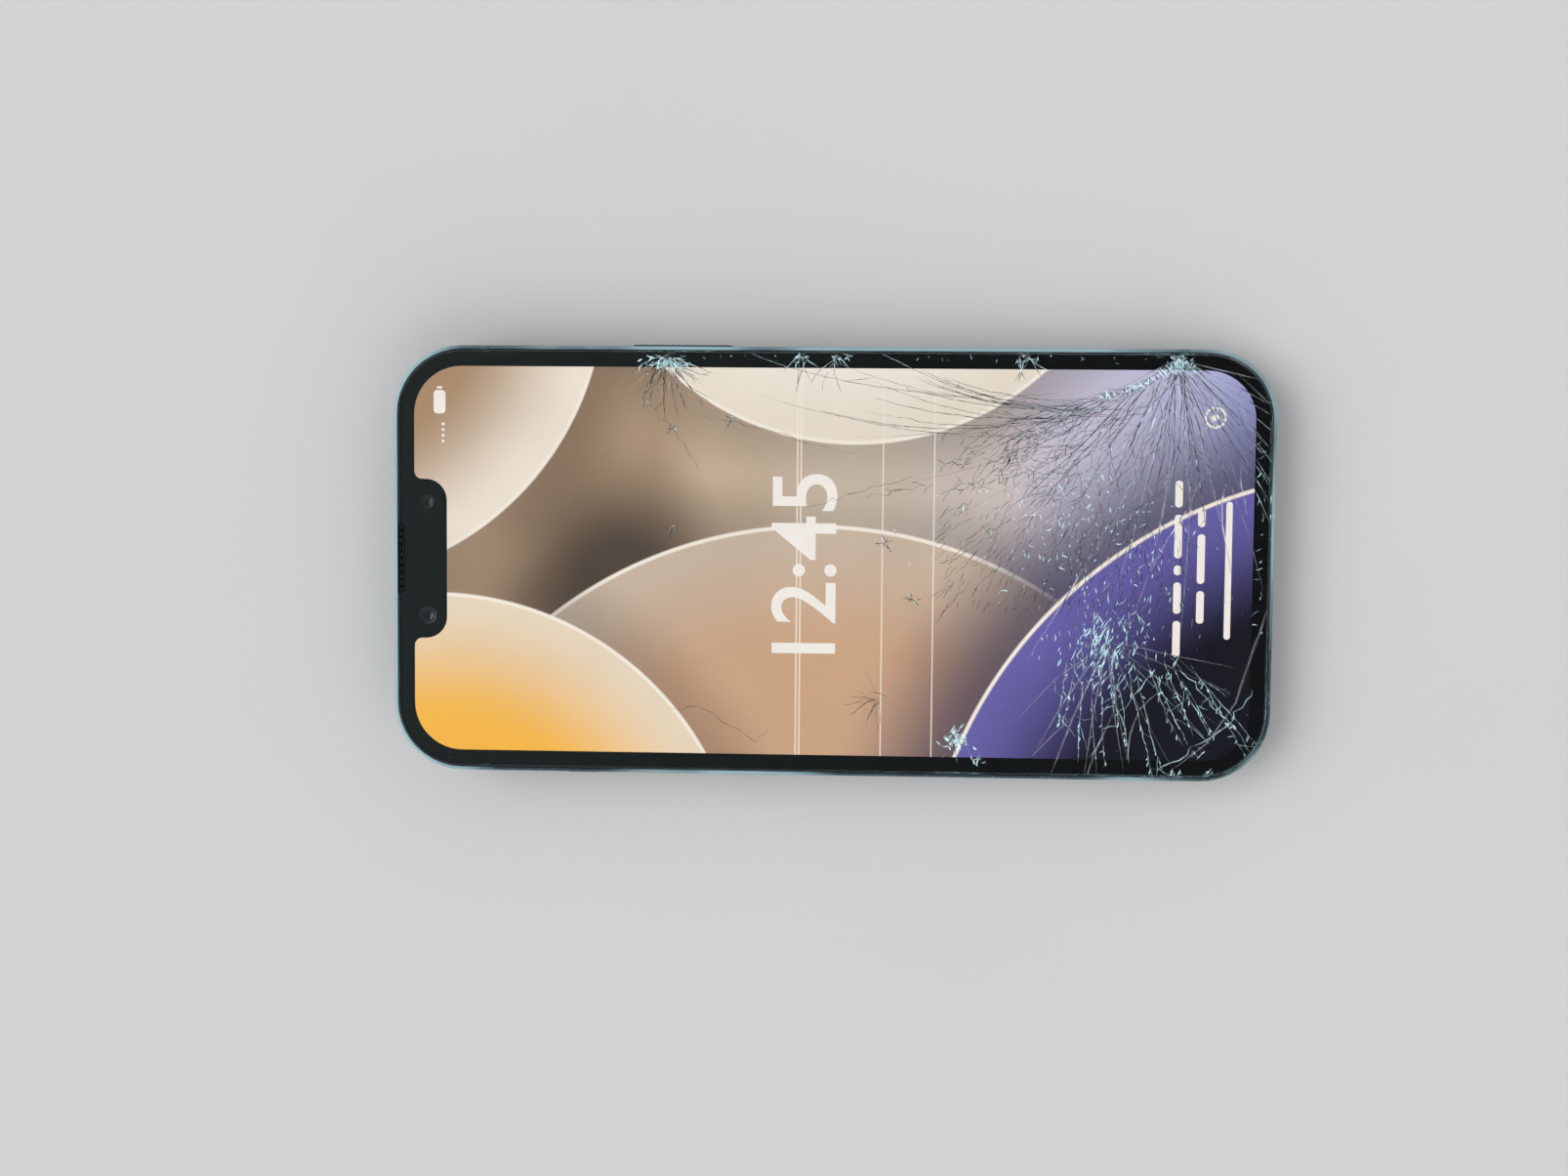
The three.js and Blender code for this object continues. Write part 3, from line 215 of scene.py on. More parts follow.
# Each disc's centre across and along the phone, its radius, its colours well inside and at its rim, its shade
PICTURE_DISCS = [
    ((46.0, 88.0), 50.0, srgb(176, 142, 108), srgb(244, 232, 216), SOFT_SHADE),
    ((66.0, -4.0), 46.0, srgb(255, 250, 240), srgb(238, 226, 210), SOFT_SHADE),
    ((-66.0, 2.0), 72.0, srgb(208, 168, 134), srgb(206, 186, 166), SOFT_SHADE),
    ((-58.0, 66.0), 52.0, srgb(255, 190, 70), srgb(238, 220, 194), SOFT_SHADE),
    ((-60.0, -92.0), 76.0, srgb(12, 11, 22), srgb(106, 99, 172), DEEP_SHADE),
]
RIM_BAND = 22.0
# Bright lines of dead pixels across the screen: the place along and the half width of each
DEAD_LINES = [(5.45, 0.16), (4.85, 0.16), (-8.8, 0.14), (-17.3, 0.14)]


def picture_colour(surface):
    """The colour of the lit picture at each place of the display."""
    flat = surface.vector("MULTIPLY", surface.place, (1.0, 1.0, 0.0))
    colour = PICTURE_RAMP[0][1]
    for (above, _), (below, shade) in zip(PICTURE_RAMP, PICTURE_RAMP[1:]):
        colour = surface.mix(surface.span(surface.y, above, below), colour, shade)
    from_patch = surface.vector("DISTANCE", flat, (*DARK_PATCH, 0.0))
    colour = surface.mix(surface.span(from_patch, *DARK_PATCH_FADE, 0.85, 0.0), colour, SHADOW_BROWN)
    for (across, along), radius, middle, rim, (dusk, weight, spread) in PICTURE_DISCS:
        reach = surface.vector("DISTANCE", flat, (across, along, 0.0))
        colour = surface.mix(surface.span(reach, radius, radius + spread, weight, 0.0), colour, dusk)
        fill = surface.mix(surface.span(reach, radius - RIM_BAND, radius), middle, rim)
        colour = surface.mix(surface.span(reach, radius - 0.1, radius + 0.1, 1.0, 0.0), colour, fill)
        from_rim = surface.math("ABSOLUTE", surface.math("SUBTRACT", reach, radius))
        colour = surface.mix(surface.span(from_rim, 0.12, 0.5, 1.0, 0.0), colour, RIM_LIGHT)
    for along, half in DEAD_LINES:
        off = surface.math("ABSOLUTE", surface.math("SUBTRACT", surface.y, along))
        colour = surface.mix(surface.span(off, half * 0.5, half, 0.8, 0.0), colour, RIM_LIGHT)
    return colour


def screen_picture():
    surface = Finish("screen_picture")
    lit = surface.span(surface.z, DISPLAY_TOP - 0.1, DISPLAY_TOP - 0.05)
    uneven = surface.noise(0.05, 2.0)
    colour = surface.mix(surface.span(uneven, 0.3, 0.7, 0.0, 0.06), picture_colour(surface), SHADOW_BROWN)
    return surface.shade(
        base_color=(0.006, 0.006, 0.008, 1.0),
        roughness=0.35,
        specular_ior_level=0.1,
        emission_color=colour,
        emission_strength=lit,
    )


def screen_white():
    surface = Finish("screen_white")
    glow = surface.mix(surface.noise(0.4, 2.0), srgb(244, 236, 226), srgb(255, 250, 244))
    return surface.shade(
        base_color=(0.02, 0.02, 0.02, 1.0),
        roughness=0.4,
        emission_color=glow,
        emission_strength=0.95,
    )


# Glass

def cover_glass():
    surface = Finish("cover_glass")
    smear = surface.noise(0.09, 4.0, 0.6, (1.0, 0.4, 1.0))
    dust = surface.span(surface.cells(0.55), 0.05, 0.035, 0.0, 1.0)
    kept = surface.span(surface.noise(0.16, 2.0), 0.56, 0.6)
    dust = surface.math("MULTIPLY", dust, kept)
    clear = surface.span(smear, 0.45, 0.75, 0.0, 0.03)
    return surface.shade(
        base_color=surface.mix(dust, (1.0, 1.0, 1.0, 1.0), (0.6, 0.68, 0.68, 1.0)),
        roughness=surface.math("MAXIMUM", clear, surface.math("MULTIPLY", dust, 0.5)),
        transmission_weight=1.0,
        ior=1.5,
    )


# The colour of the painted glow of screen light in a bright splinter
CAUGHT_LIGHT = srgb(150, 222, 232)


def crack_glints_and_shade():
    """Crushed glass along a crack, painted from dark shade to a pale glint by its level. Bright splinters
    glow with painted screen light.
    """
    surface = Finish("crack_glints_and_shade")
    shade_to_glint = surface.node("ShaderNodeAttribute", attribute_name="shade_to_glint").outputs["Fac"]
    facets = surface.noise(3.0, 2.0)
    # Facets scatter the painted shade and glint a little, and bump the surface
    shade_to_glint = surface.math("ADD", shade_to_glint, surface.span(facets, 0.25, 0.75, -0.12, 0.12))
    crack_shade = surface.mix(surface.span(shade_to_glint, 0.0, 0.5), srgb(30, 33, 36), srgb(128, 144, 148))
    colour = surface.mix(surface.span(shade_to_glint, 0.4, 1.0), crack_shade, srgb(224, 244, 247))
    surface.bump(facets, 0.03)
    return surface.shade(
        base_color=colour,
        roughness=surface.span(facets, 0.3, 0.7, 0.18, 0.45),
        specular_ior_level=0.3,
        # The painted glow of the brightest splinters
        emission_color=CAUGHT_LIGHT,
        emission_strength=surface.span(shade_to_glint, 0.5, 1.0, 0.0, 0.4),
    )


def border_ink():
    surface = Finish("border_ink")
    cloud = surface.noise(0.3, 3.0)
    colour = surface.mix(cloud, srgb(3, 4, 5), srgb(7, 9, 10))
    rough = surface.span(cloud, 0.3, 0.7, 0.35, 0.5)
    return surface.shade(base_color=colour, roughness=rough, specular_ior_level=0.1)


# The directions of the fine scratches on the back, in degrees
SCRATCH_TURNS = (12.0, 74.0, 143.0)


def rear_glass():
    surface = Finish("rear_glass")
    smear = surface.noise(0.07, 5.0, 0.6, (1.0, 0.5, 1.0))
    colour = surface.mix(smear, srgb(22, 31, 38), srgb(34, 46, 55))
    for turn in SCRATCH_TURNS:
        hair = surface.span(surface.noise(2.2, 2.0, 0.5, (1.0, 0.03, 1.0), turn), 0.71, 0.75)
        colour = surface.mix(surface.math("MULTIPLY", hair, 0.3), colour, srgb(120, 134, 140))
    return surface.shade(base_color=colour, roughness=surface.span(smear, 0.35, 0.7, 0.05, 0.22), ior=1.5)


def coated_pane(name, dark, light, tint):
    """A thin coated window, of which the tint is the share that shows and the rest is see-through."""
    surface = Finish(name)
    smear = surface.noise(0.5, 3.0)
    return surface.shade(
        base_color=surface.mix(smear, dark, light),
        roughness=surface.span(smear, 0.4, 0.8, 0.03, 0.14),
        alpha=tint,
    )


# Metal

# The colour of the painted highlight on the band's rims, and of bare metal where they are worn
PAINTED_RIM_HIGHLIGHT = srgb(184, 221, 230)
WORN_RIM = srgb(172, 186, 190)


def anodised(name, dark, light):
    """Brushed dark metal with a painted highlight along its rims, in stretches and all along the top end, and
    scuffed.
    """
    surface = Finish(name)
    grain = surface.noise(7.0, 3.0, 0.5, (1.0, 0.06, 1.0))
    cloud = surface.noise(0.15, 3.0)
    from_middle = surface.math("ABSOLUTE", surface.math("SUBTRACT", surface.z, BAND_MIDDLE))
    edge = surface.span(from_middle, 2.9, 3.5)
    scuff = surface.span(surface.noise(1.1, 6.0, 0.7), 0.56, 0.66)
    far = surface.math("ABSOLUTE", surface.y)
    corner = surface.span(far, 60.0, 70.0, 0.35, 1.0)
    worn = surface.math("MULTIPLY", surface.math("MULTIPLY", edge, scuff), corner)
    # The painted highlight: in stretches along the rims, and all along the top end, which faces the main lamp
    highlight_stretches = surface.span(surface.noise(0.03, 2.0), 0.4, 0.58, 0.1, 0.85)
    highlight_stretches = surface.math("MAXIMUM", highlight_stretches, surface.span(surface.y, 58.0, 68.0, 0.0, 0.88))
    rim_highlight = surface.math("MULTIPLY", surface.span(from_middle, 3.1, 3.3), highlight_stretches)
    colour = surface.mix(surface.math("MULTIPLY", grain, cloud), dark, light)
    colour = surface.mix(rim_highlight, colour, PAINTED_RIM_HIGHLIGHT)
    colour = surface.mix(worn, colour, WORN_RIM)
    surface.bump(surface.math("SUBTRACT", grain, surface.math("MULTIPLY", worn, 1.5)), 0.01)
    return surface.shade(
        base_color=colour,
        # Less metallic under the painted highlight, so that it takes the lamps' light
        metallic=surface.span(rim_highlight, 0.0, 1.0, 1.0, 0.4),
        roughness=surface.span(grain, 0.2, 0.8, 0.26, 0.42),
    )


def plain_metal(name, dark, light, rough, per_mm=4.0, stretch=(1.0, 0.08, 1.0)):
    surface = Finish(name)
    grain = surface.noise(per_mm, 4.0, 0.6, stretch)
    stain = surface.noise(0.4, 4.0)
    colour = surface.mix(surface.math("MULTIPLY", grain, stain), dark, light)
    surface.bump(grain, 0.008)
    return surface.shade(
        base_color=colour,
        metallic=1.0,
        roughness=surface.span(stain, 0.25, 0.75, rough - 0.08, rough + 0.1),
    )


COIL_CENTRE = (0.0, -6.0, 0.0)


def coil_copper():
    surface = Finish("coil_copper")
    flat = surface.vector("MULTIPLY", surface.place, (1.0, 1.0, 0.0))
    reach = surface.vector("DISTANCE", flat, COIL_CENTRE)
    turns = surface.math("PINGPONG", reach, 0.25)
    colour = surface.mix(surface.span(turns, 0.02, 0.16), srgb(96, 52, 28), srgb(214, 142, 92))
    surface.bump(turns, 0.25)
    rough = surface.span(surface.noise(0.8), 0.3, 0.7, 0.25, 0.4)
    return surface.shade(base_color=colour, metallic=1.0, roughness=rough)


# Plastics, films and the circuit board

def moulded(name, dark, light, rough, per_mm=6.0, depth=0.01):
    surface = Finish(name)
    texture = surface.noise(per_mm, 3.0, 0.6)
    cloud = surface.noise(0.25, 3.0)
    surface.bump(texture, depth)
    return surface.shade(
        base_color=surface.mix(cloud, dark, light),
        roughness=surface.span(texture, 0.25, 0.75, rough - 0.1, rough + 0.1),
    )


def circuit_board():
    surface = Finish("circuit_board")
    tracks = surface.cells(0.9, "DISTANCE_TO_EDGE", (1.0, 0.35, 1.0))
    pads = surface.span(surface.cells(1.6), 0.16, 0.12)
    colour = surface.mix(surface.span(tracks, 0.03, 0.07), srgb(46, 96, 62), srgb(16, 44, 30))
    colour = surface.mix(pads, colour, srgb(206, 178, 112))
    surface.bump(pads, 0.04)
    rough = surface.span(tracks, 0.0, 0.2, 0.3, 0.5)
    return surface.shade(base_color=colour, metallic=pads, roughness=rough)


def amber_film():
    surface = Finish("amber_film")
    slant = surface.math("PINGPONG", surface.math("ADD", surface.x, surface.y), 0.4)
    tracks = surface.span(slant, 0.12, 0.2)
    cloud = surface.noise(0.6, 3.0)
    colour = surface.mix(cloud, srgb(146, 88, 30), srgb(190, 124, 52))
    colour = surface.mix(surface.math("MULTIPLY", tracks, 0.5), colour, srgb(96, 54, 20))
    surface.bump(tracks, 0.02)
    return surface.shade(base_color=colour, roughness=surface.span(cloud, 0.3, 0.7, 0.2, 0.34))


def flash_yellow():
    surface = Finish("flash_yellow")
    rings = surface.cells(1.4, "DISTANCE_TO_EDGE")
    colour = surface.mix(surface.span(rings, 0.0, 0.3), srgb(206, 190, 132), srgb(246, 238, 206))
    surface.bump(rings, 0.1)
    return surface.shade(base_color=colour, roughness=surface.span(rings, 0.0, 0.4, 0.12, 0.3))


def camera_barrel(node, lens_radius, ring_colour, sheen_colour):
    """A camera module: turned rings about its axis, and a lens in the middle, dark at its centre and with a
    painted coloured sheen of its coating towards its rim.
    """
    surface = Finish(node + "_barrel")
    low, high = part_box(node)
    middle = phone_to_row.inverted() @ ((Vector(low) + Vector(high)) / 2)
    flat = surface.vector("MULTIPLY", surface.place, (1.0, 1.0, 0.0))
    reach = surface.vector("DISTANCE", flat, (middle.x, middle.y, 0.0))
    lens = surface.span(reach, lens_radius - 0.1, lens_radius, 1.0, 0.0)
    rings = surface.math("PINGPONG", reach, 0.3)
    barrel = surface.mix(surface.span(rings, 0.05, 0.2), srgb(12, 13, 15), ring_colour)
    # The lens's painted sheen, from dark at its centre to the sheen colour at its rim
    sheen_towards_rim = surface.span(reach, 0.2 * lens_radius, lens_radius)
    lens_sheen = surface.mix(sheen_towards_rim, srgb(7, 8, 13), sheen_colour)
    surface.bump(surface.math("MULTIPLY", rings, surface.math("SUBTRACT", 1.0, lens)), 0.1)
    return surface.shade(
        base_color=surface.mix(lens, barrel, lens_sheen),
        roughness=surface.span(lens, 0.0, 1.0, 0.45, 0.06),
    )


def speaker_mesh():
    surface = Finish("speaker_mesh")
    holes = surface.span(surface.cells(4.5), 0.3, 0.42)
    # The holes are painted dark, as the shade inside them
    colour = surface.mix(holes, srgb(8, 9, 10), srgb(60, 66, 70))
    surface.bump(holes, 0.08)
    rough = surface.span(holes, 0.0, 1.0, 0.6, 0.4)
    return surface.shade(base_color=colour, metallic=0.8, roughness=rough)


# Which finish each CAD node gets

RING_GREY = srgb(58, 62, 67)
RING_BLACK = srgb(16, 17, 19)
# Colours of the painted sheen on the lenses' coatings
SHEEN_VIOLET = srgb(44, 52, 106)
SHEEN_BLUE = srgb(18, 28, 58)
SHEEN_BLACK = srgb(12, 13, 17)
EVEN_GRAIN = (1.0, 1.0, 1.0)
TURNED_GRAIN = (1.0, 1.0, 0.2)

band_finish = anodised("anodised_band", srgb(38, 52, 61), srgb(76, 95, 105))
key_finish = anodised("anodised_keys", srgb(52, 68, 78), srgb(98, 118, 128))
black_metal = plain_metal("black_metal", srgb(24, 27, 30), srgb(52, 58, 62), 0.34)
ring_metal = plain_metal("ring_metal", srgb(44, 56, 64), srgb(96, 112, 120), 0.2, 6.0, TURNED_GRAIN)
steel = plain_metal("steel", srgb(126, 130, 132), srgb(196, 200, 202), 0.32)
can_steel = plain_metal("can_steel", srgb(150, 152, 152), srgb(206, 208, 206), 0.4, 1.5, EVEN_GRAIN)
split_plastic = moulded("split_plastic", srgb(66, 92, 98), srgb(92, 122, 128), 0.45)
black_plastic = moulded("black_plastic", srgb(20, 21, 23), srgb(34, 36, 39), 0.55)
black_rubber = moulded("black_rubber", srgb(14, 15, 16), srgb(26, 27, 29), 0.75, 3.0, 0.02)
glue_tape = moulded("glue_tape", srgb(34, 34, 34), srgb(56, 56, 55), 0.85, 2.0, 0.04)
battery_foil = moulded("battery_foil", srgb(34, 36, 40), srgb(54, 57, 62), 0.42, 0.9, 0.06)

NODE_FINISHES = [
    (band_finish, ["metal_frame"]),
    (key_finish, ["side_button", "volume_up_button", "volume_down_button", "ring_switch", "sim_tray"]),
    (split_plastic, ["antenna_split_upper_right", "antenna_split_lower_right",
                     "antenna_split_upper_left", "antenna_split_lower_left"]),
    (cover_glass(), ["front_glass"]),
    (screen_picture(), ["display_panel"]),
    (black_rubber, ["display_seal"]),
    (rear_glass(), ["back_glass"]),
    (glue_tape, ["back_adhesive"]),
    (ring_metal, ["main_camera_ring", "wide_camera_ring"]),
    (coated_pane("lens_glass", srgb(10, 13, 20), srgb(26, 32, 46), 0.2),
     ["main_camera_window", "wide_camera_window"]),
    (coated_pane("flash_glass", srgb(200, 198, 182), srgb(226, 224, 212), 0.3), ["flash_window"]),
    (camera_barrel("main_camera", 2.7, RING_GREY, SHEEN_VIOLET), ["main_camera"]),
    (camera_barrel("wide_camera", 2.1, RING_GREY, SHEEN_VIOLET), ["wide_camera"]),
    (camera_barrel("front_camera", 0.95, RING_BLACK, SHEEN_BLUE), ["front_camera"]),
    (camera_barrel("face_sensor", 0.7, RING_BLACK, SHEEN_BLACK), ["face_sensor"]),
    (flash_yellow(), ["flash_lamp"]),
    (speaker_mesh(), ["earpiece_mesh", "rear_microphone", "bottom_microphone"]),
    (steel, ["side_button_switch", "volume_up_switch", "volume_down_switch", "ring_switch_bracket",
             "sim_reader", "charge_port", "haptic_motor"]),
    (black_metal, ["bottom_screw_left", "bottom_screw_right"]),
    (can_steel, ["shield_can_upper", "shield_can_lower"]),
    (battery_foil, ["battery"]),
    (amber_film(), ["battery_flex", "display_flex"]),
    (circuit_board(), ["logic_board"]),
    (coil_copper(), ["charging_coil"]),
    (black_plastic, ["loudspeaker", "port_tongue", "earpiece_speaker"]),
]
# Nodes with curved faces
ROUND_NODES = [
    "metal_frame", "side_button", "volume_up_button", "volume_down_button", "ring_switch", "sim_tray",
    "back_glass", "main_camera_ring", "wide_camera_ring", "main_camera_window", "wide_camera_window",
    "main_camera", "wide_camera", "front_camera", "face_sensor", "flash_window", "charge_port",
    "bottom_screw_left", "bottom_screw_right", "charging_coil", "battery",
]
SMOOTH_ANGLE = math.radians(50)
WELD_REACH = 0.000001


def dress(node, material):
    """Gives a CAD node its finish."""
    if node.material_slots:
        node.material_slots[0].material = material
    else:
        node.data.materials.append(material)


def shade_round(node):
    """Shades a CAD node's curved faces as curved and keeps its sharp edges sharp."""
    mesh = node.data
    for name in ("custom_normal", "sharp_edge", "sharp_face"):
        if name in mesh.attributes:
            mesh.attributes.remove(mesh.attributes[name])
    mesh.polygons.foreach_set("use_smooth", [True] * len(mesh.polygons))
    weld = node.modifiers.new("weld", "WELD")
    weld.merge_threshold = WELD_REACH
    split = node.modifiers.new("split", "EDGE_SPLIT")
    split.split_angle = SMOOTH_ANGLE
    split.use_edge_sharp = False


for finish, names in NODE_FINISHES:
    for name in names:
        dress(cad_nodes[name], finish)
for name in ROUND_NODES:
    shade_round(cad_nodes[name])


# Shapes of new pieces

def piece(name, points, faces, material):
    """A new piece on the chassis, from points in the phone's level frame."""
    mesh = bpy.data.meshes.new(name)
    mesh.from_pydata([phone_to_row @ Vector(point) for point in points], [], faces)
    mesh.materials.append(material)
    made = bpy.data.objects.new(name, mesh)
    bpy.context.scene.collection.objects.link(made)
    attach(made, "chassis")
    return made


def arc(across, along, radius, start, end, steps=12):
    """Points of an arc about a centre, from one angle to another in degrees."""
    turns = [math.radians(start + (end - start) * i / steps) for i in range(steps + 1)]
    return [(across + radius * math.cos(t), along + radius * math.sin(t)) for t in turns]


def circle(centre, radius):
    """A circle's outline, anticlockwise."""
    return arc(*centre, radius, 0, 345, 23)


def rounded_box(width, length, corner, across=0.0, along=0.0):
    """A rounded rectangle's outline, anticlockwise."""
    x = width / 2 - corner
    y = length / 2 - corner
    centres = [(x, y, 0), (-x, y, 90), (-x, -y, 180), (x, -y, 270)]
    outline = []
    for dx, dy, start in centres:
        outline += arc(across + dx, along + dy, corner, start, start + 90)
    return outline


def screen_outline():
    """The lit part of the display, with the notch in its top end."""
    x = SCREEN_WIDTH / 2 - SCREEN_CORNER
    y = SCREEN_LENGTH / 2 - SCREEN_CORNER
    top = SCREEN_LENGTH / 2
    side = NOTCH_WIDTH / 2
    floor = top - NOTCH_DEPTH + NOTCH_CORNER
    outline = arc(x, y, SCREEN_CORNER, 0, 90)
    outline += arc(side + NOTCH_FLARE, top - NOTCH_FLARE, NOTCH_FLARE, 90, 180)
    outline += arc(side - NOTCH_CORNER, floor, NOTCH_CORNER, 0, -90)
    outline += arc(NOTCH_CORNER - side, floor, NOTCH_CORNER, -90, -180)
    outline += arc(-side - NOTCH_FLARE, top - NOTCH_FLARE, NOTCH_FLARE, 0, 90)
    outline += arc(-x, y, SCREEN_CORNER, 90, 180)
    outline += arc(-x, -y, SCREEN_CORNER, 180, 270)
    outline += arc(x, -y, SCREEN_CORNER, 270, 360)
    return outline


def plate(loops, low, high):
    """Points and faces of a flat plate: the first loop is its outline and the others are holes in it."""
    mesh = bmesh.new()
    rings = [[[mesh.verts.new((x, y, z)) for x, y in loop] for z in (low, high)] for loop in loops]
    for level in (0, 1):
        edges = []
        for ring in rings:
            verts = ring[level]
            edges += [mesh.edges.new((verts[i - 1], verts[i])) for i in range(len(verts))]
        bmesh.ops.triangle_fill(mesh, use_beauty=True, edges=edges, normal=(0, 0, 1))
    for below, above in rings:
        for i in range(len(below)):
            mesh.faces.new((below[i - 1], below[i], above[i], above[i - 1]))
    bmesh.ops.recalc_face_normals(mesh, faces=mesh.faces)
    mesh.verts.index_update()
    points = [tuple(vert.co) for vert in mesh.verts]
    faces = [[vert.index for vert in face.verts] for face in mesh.faces]
    mesh.free()
    return points, faces


def join(parts):
    """Several lists of points and faces as one."""
    points, faces = [], []
    for more_points, more_faces in parts:
        first = len(points)
        points += more_points
        faces += [[first + i for i in face] for face in more_faces]
    return points, faces


# Black print round the screen, under the glass, with the windows of the front camera and the face sensor

BORDER_LOW = 6.92
BORDER_HIGH = 6.97
BORDER_INSET = 0.35
# The notch in the print for the earpiece: half its width, and how far along it starts
EAR_SLOT = 6.2
EAR_FLOOR = 71.3


def border_print():
    width = GLASS_WIDTH - 2 * BORDER_INSET
    length = GLASS_LENGTH - 2 * BORDER_INSET
    outline = rounded_box(width, length, GLASS_CORNER - BORDER_INSET)
    corner_end = len(outline) // 4
    top = length / 2
    slot = [(EAR_SLOT, top), (EAR_SLOT, EAR_FLOOR), (-EAR_SLOT, EAR_FLOOR), (-EAR_SLOT, top)]
    outline = outline[:corner_end] + slot + outline[corner_end:]
    windows = [circle(FRONT_CAMERA, FRONT_CAMERA_WINDOW), circle(FACE_SENSOR, FACE_SENSOR_WINDOW)]
    points, faces = plate([outline, screen_outline(), *windows], BORDER_LOW, BORDER_HIGH)
    piece("border_print", points, faces, border_ink())


# White marks of the lit screen: a clock, a battery sign, dots, a round sign, two lines of bars and a long bar

MARK_LOW = DISPLAY_TOP + 0.004
MARK_HIGH = DISPLAY_TOP + 0.016
CLOCK_TEXT = "12:45"
CLOCK_WIDTH = 30.0
CLOCK_CENTRE = (-0.2, 3.6)
CLOCK_WEIGHT = 0.008
CLOCK_CURVE_STEPS = 6


def clock_digits():
    """The clock's digits as points and faces of thin plates."""
    curve = bpy.data.curves.new("clock", "FONT")
    curve.body = CLOCK_TEXT
    curve.align_x = "CENTER"
    curve.align_y = "CENTER"
    curve.offset = CLOCK_WEIGHT
    curve.extrude = 0.001
    curve.resolution_u = CLOCK_CURVE_STEPS
    made = bpy.data.objects.new("clock", curve)
    mesh = bpy.data.meshes.new_from_object(made)
    widths = [vert.co.x for vert in mesh.vertices]
    middle = (max(widths) + min(widths)) / 2
    scale = CLOCK_WIDTH / (max(widths) - min(widths))
    points = []
    for vert in mesh.vertices:
        x = CLOCK_CENTRE[0] + (vert.co.x - middle) * scale
        y = CLOCK_CENTRE[1] + vert.co.y * scale
        points.append((x, y, MARK_HIGH if vert.co.z > 0 else MARK_LOW))
    faces = [list(face.vertices) for face in mesh.polygons]
    bpy.data.objects.remove(made)
    bpy.data.curves.remove(curve)
    bpy.data.meshes.remove(mesh)
    return points, faces


# Width, height, corner and centre of the long bar and of the battery sign's two parts
LONG_BAR = (22.8, 1.05, 0.5, -0.6, -65.9)
BATTERY_BODY = (3.9, 2.0, 0.6, 26.3, 65.6)
BATTERY_TIP = (0.4, 0.9, 0.15, 28.7, 65.6)
DOT_COUNT = 4
DOT_SIZE = 0.5
DOT_CORNER = 0.24
DOT_PITCH = 0.95
FIRST_DOT = (22.6, 65.0)
ROUND_SIGN = (24.6, -63.3)
ROUND_SIGN_RING = (1.8, 1.45)
ROUND_SIGN_PIP = 0.55
# Each row of bars: its place along, where it starts across, and the widths of its bars
BAR_ROWS = [(-57.6, 14.2, [4.4, 7.2, 1.6, 5.2, 6.0]), (-61.4, 9.6, [3.0, 8.2, 5.4])]
BAR_THICKNESS = 1.25
BAR_CORNER = 0.5625
BAR_GAP = 1.2


def screen_marks():
    loops = [[rounded_box(*bar)] for bar in (LONG_BAR, BATTERY_BODY, BATTERY_TIP)]
    for i in range(DOT_COUNT):
        across, along = FIRST_DOT
        loops.append([rounded_box(DOT_SIZE, DOT_SIZE, DOT_CORNER, across - DOT_PITCH * i, along)])
    loops.append([circle(ROUND_SIGN, radius) for radius in ROUND_SIGN_RING])
    loops.append([circle(ROUND_SIGN, ROUND_SIGN_PIP)])
    for along, start, widths in BAR_ROWS:
        for width in widths:
            loops.append([rounded_box(width, BAR_THICKNESS, BAR_CORNER, start - width / 2, along)])
            start -= width + BAR_GAP
    parts = [plate(loop, MARK_LOW, MARK_HIGH) for loop in loops]
    points, faces = join([clock_digits(), *parts])
    piece("screen_marks", points, faces, screen_white())


# The break: every crack is a line on the glass with a width, filled with crushed glass

RIM_MARGIN = 0.12
FAN_SPREAD = 0.5
PATH_WOBBLE = 0.25
cracks = []


def box_reach(point, width, length, corner):
    """How far a point lies outside a rounded rectangle, negative inside it."""
    x = abs(point[0]) - width / 2 + corner
    y = abs(point[1]) - length / 2 + corner
    return math.hypot(max(x, 0.0), max(y, 0.0)) + min(max(x, y), 0.0) - corner


def towards(degrees):
    """A direction on the glass: 0 to the phone's bottom end, 90 to its right side, 180 to its top end."""
    turn = math.radians(degrees)
    return Vector((math.sin(turn), -math.cos(turn)))


def heading_of(step):
    """The direction of a step on the glass, in degrees, as towards() takes it."""
    return math.degrees(math.atan2(step.x, -step.y))


def add_crack(line, width, shade_to_glint=None):
    """Keeps the part of a line that lies on the glass. A shade_to_glint of 0 paints a crack dark as shade,
    and 1 paints it bright as a glint.
    """
    kept = []
    for point in line:
        if box_reach(point, GLASS_WIDTH, GLASS_LENGTH, GLASS_CORNER) > -RIM_MARGIN:
            break
        kept.append(point)
    if len(kept) > 1:
        cracks.append((kept, width, shade_to_glint))
    return kept


def grow(start, heading, length, bend=0.0, wobble=6.0, step=0.9):
    """The points of a crack that bends over its length and kinks a little at every step."""
    count = max(2, round(length / step))
    line = [Vector(start)]
    for i in range(count):
        turn = heading + bend * i / count + rng.gauss(0.0, wobble)
        line.append(line[-1] + towards(turn) * (length / count))
    return line


def branch(line, width):
    """A shorter crack that leaves another one at an angle."""
    if len(line) < 4:
        return
    at = rng.randrange(1, len(line) - 1)
    heading = heading_of(line[at + 1] - line[at]) + rng.choice((-1, 1)) * rng.uniform(18.0, 48.0)
    length = rng.uniform(0.12, 0.4) * 0.9 * len(line)
    add_crack(grow(line[at], heading, length, wobble=10.0, step=0.6), width * 0.8)


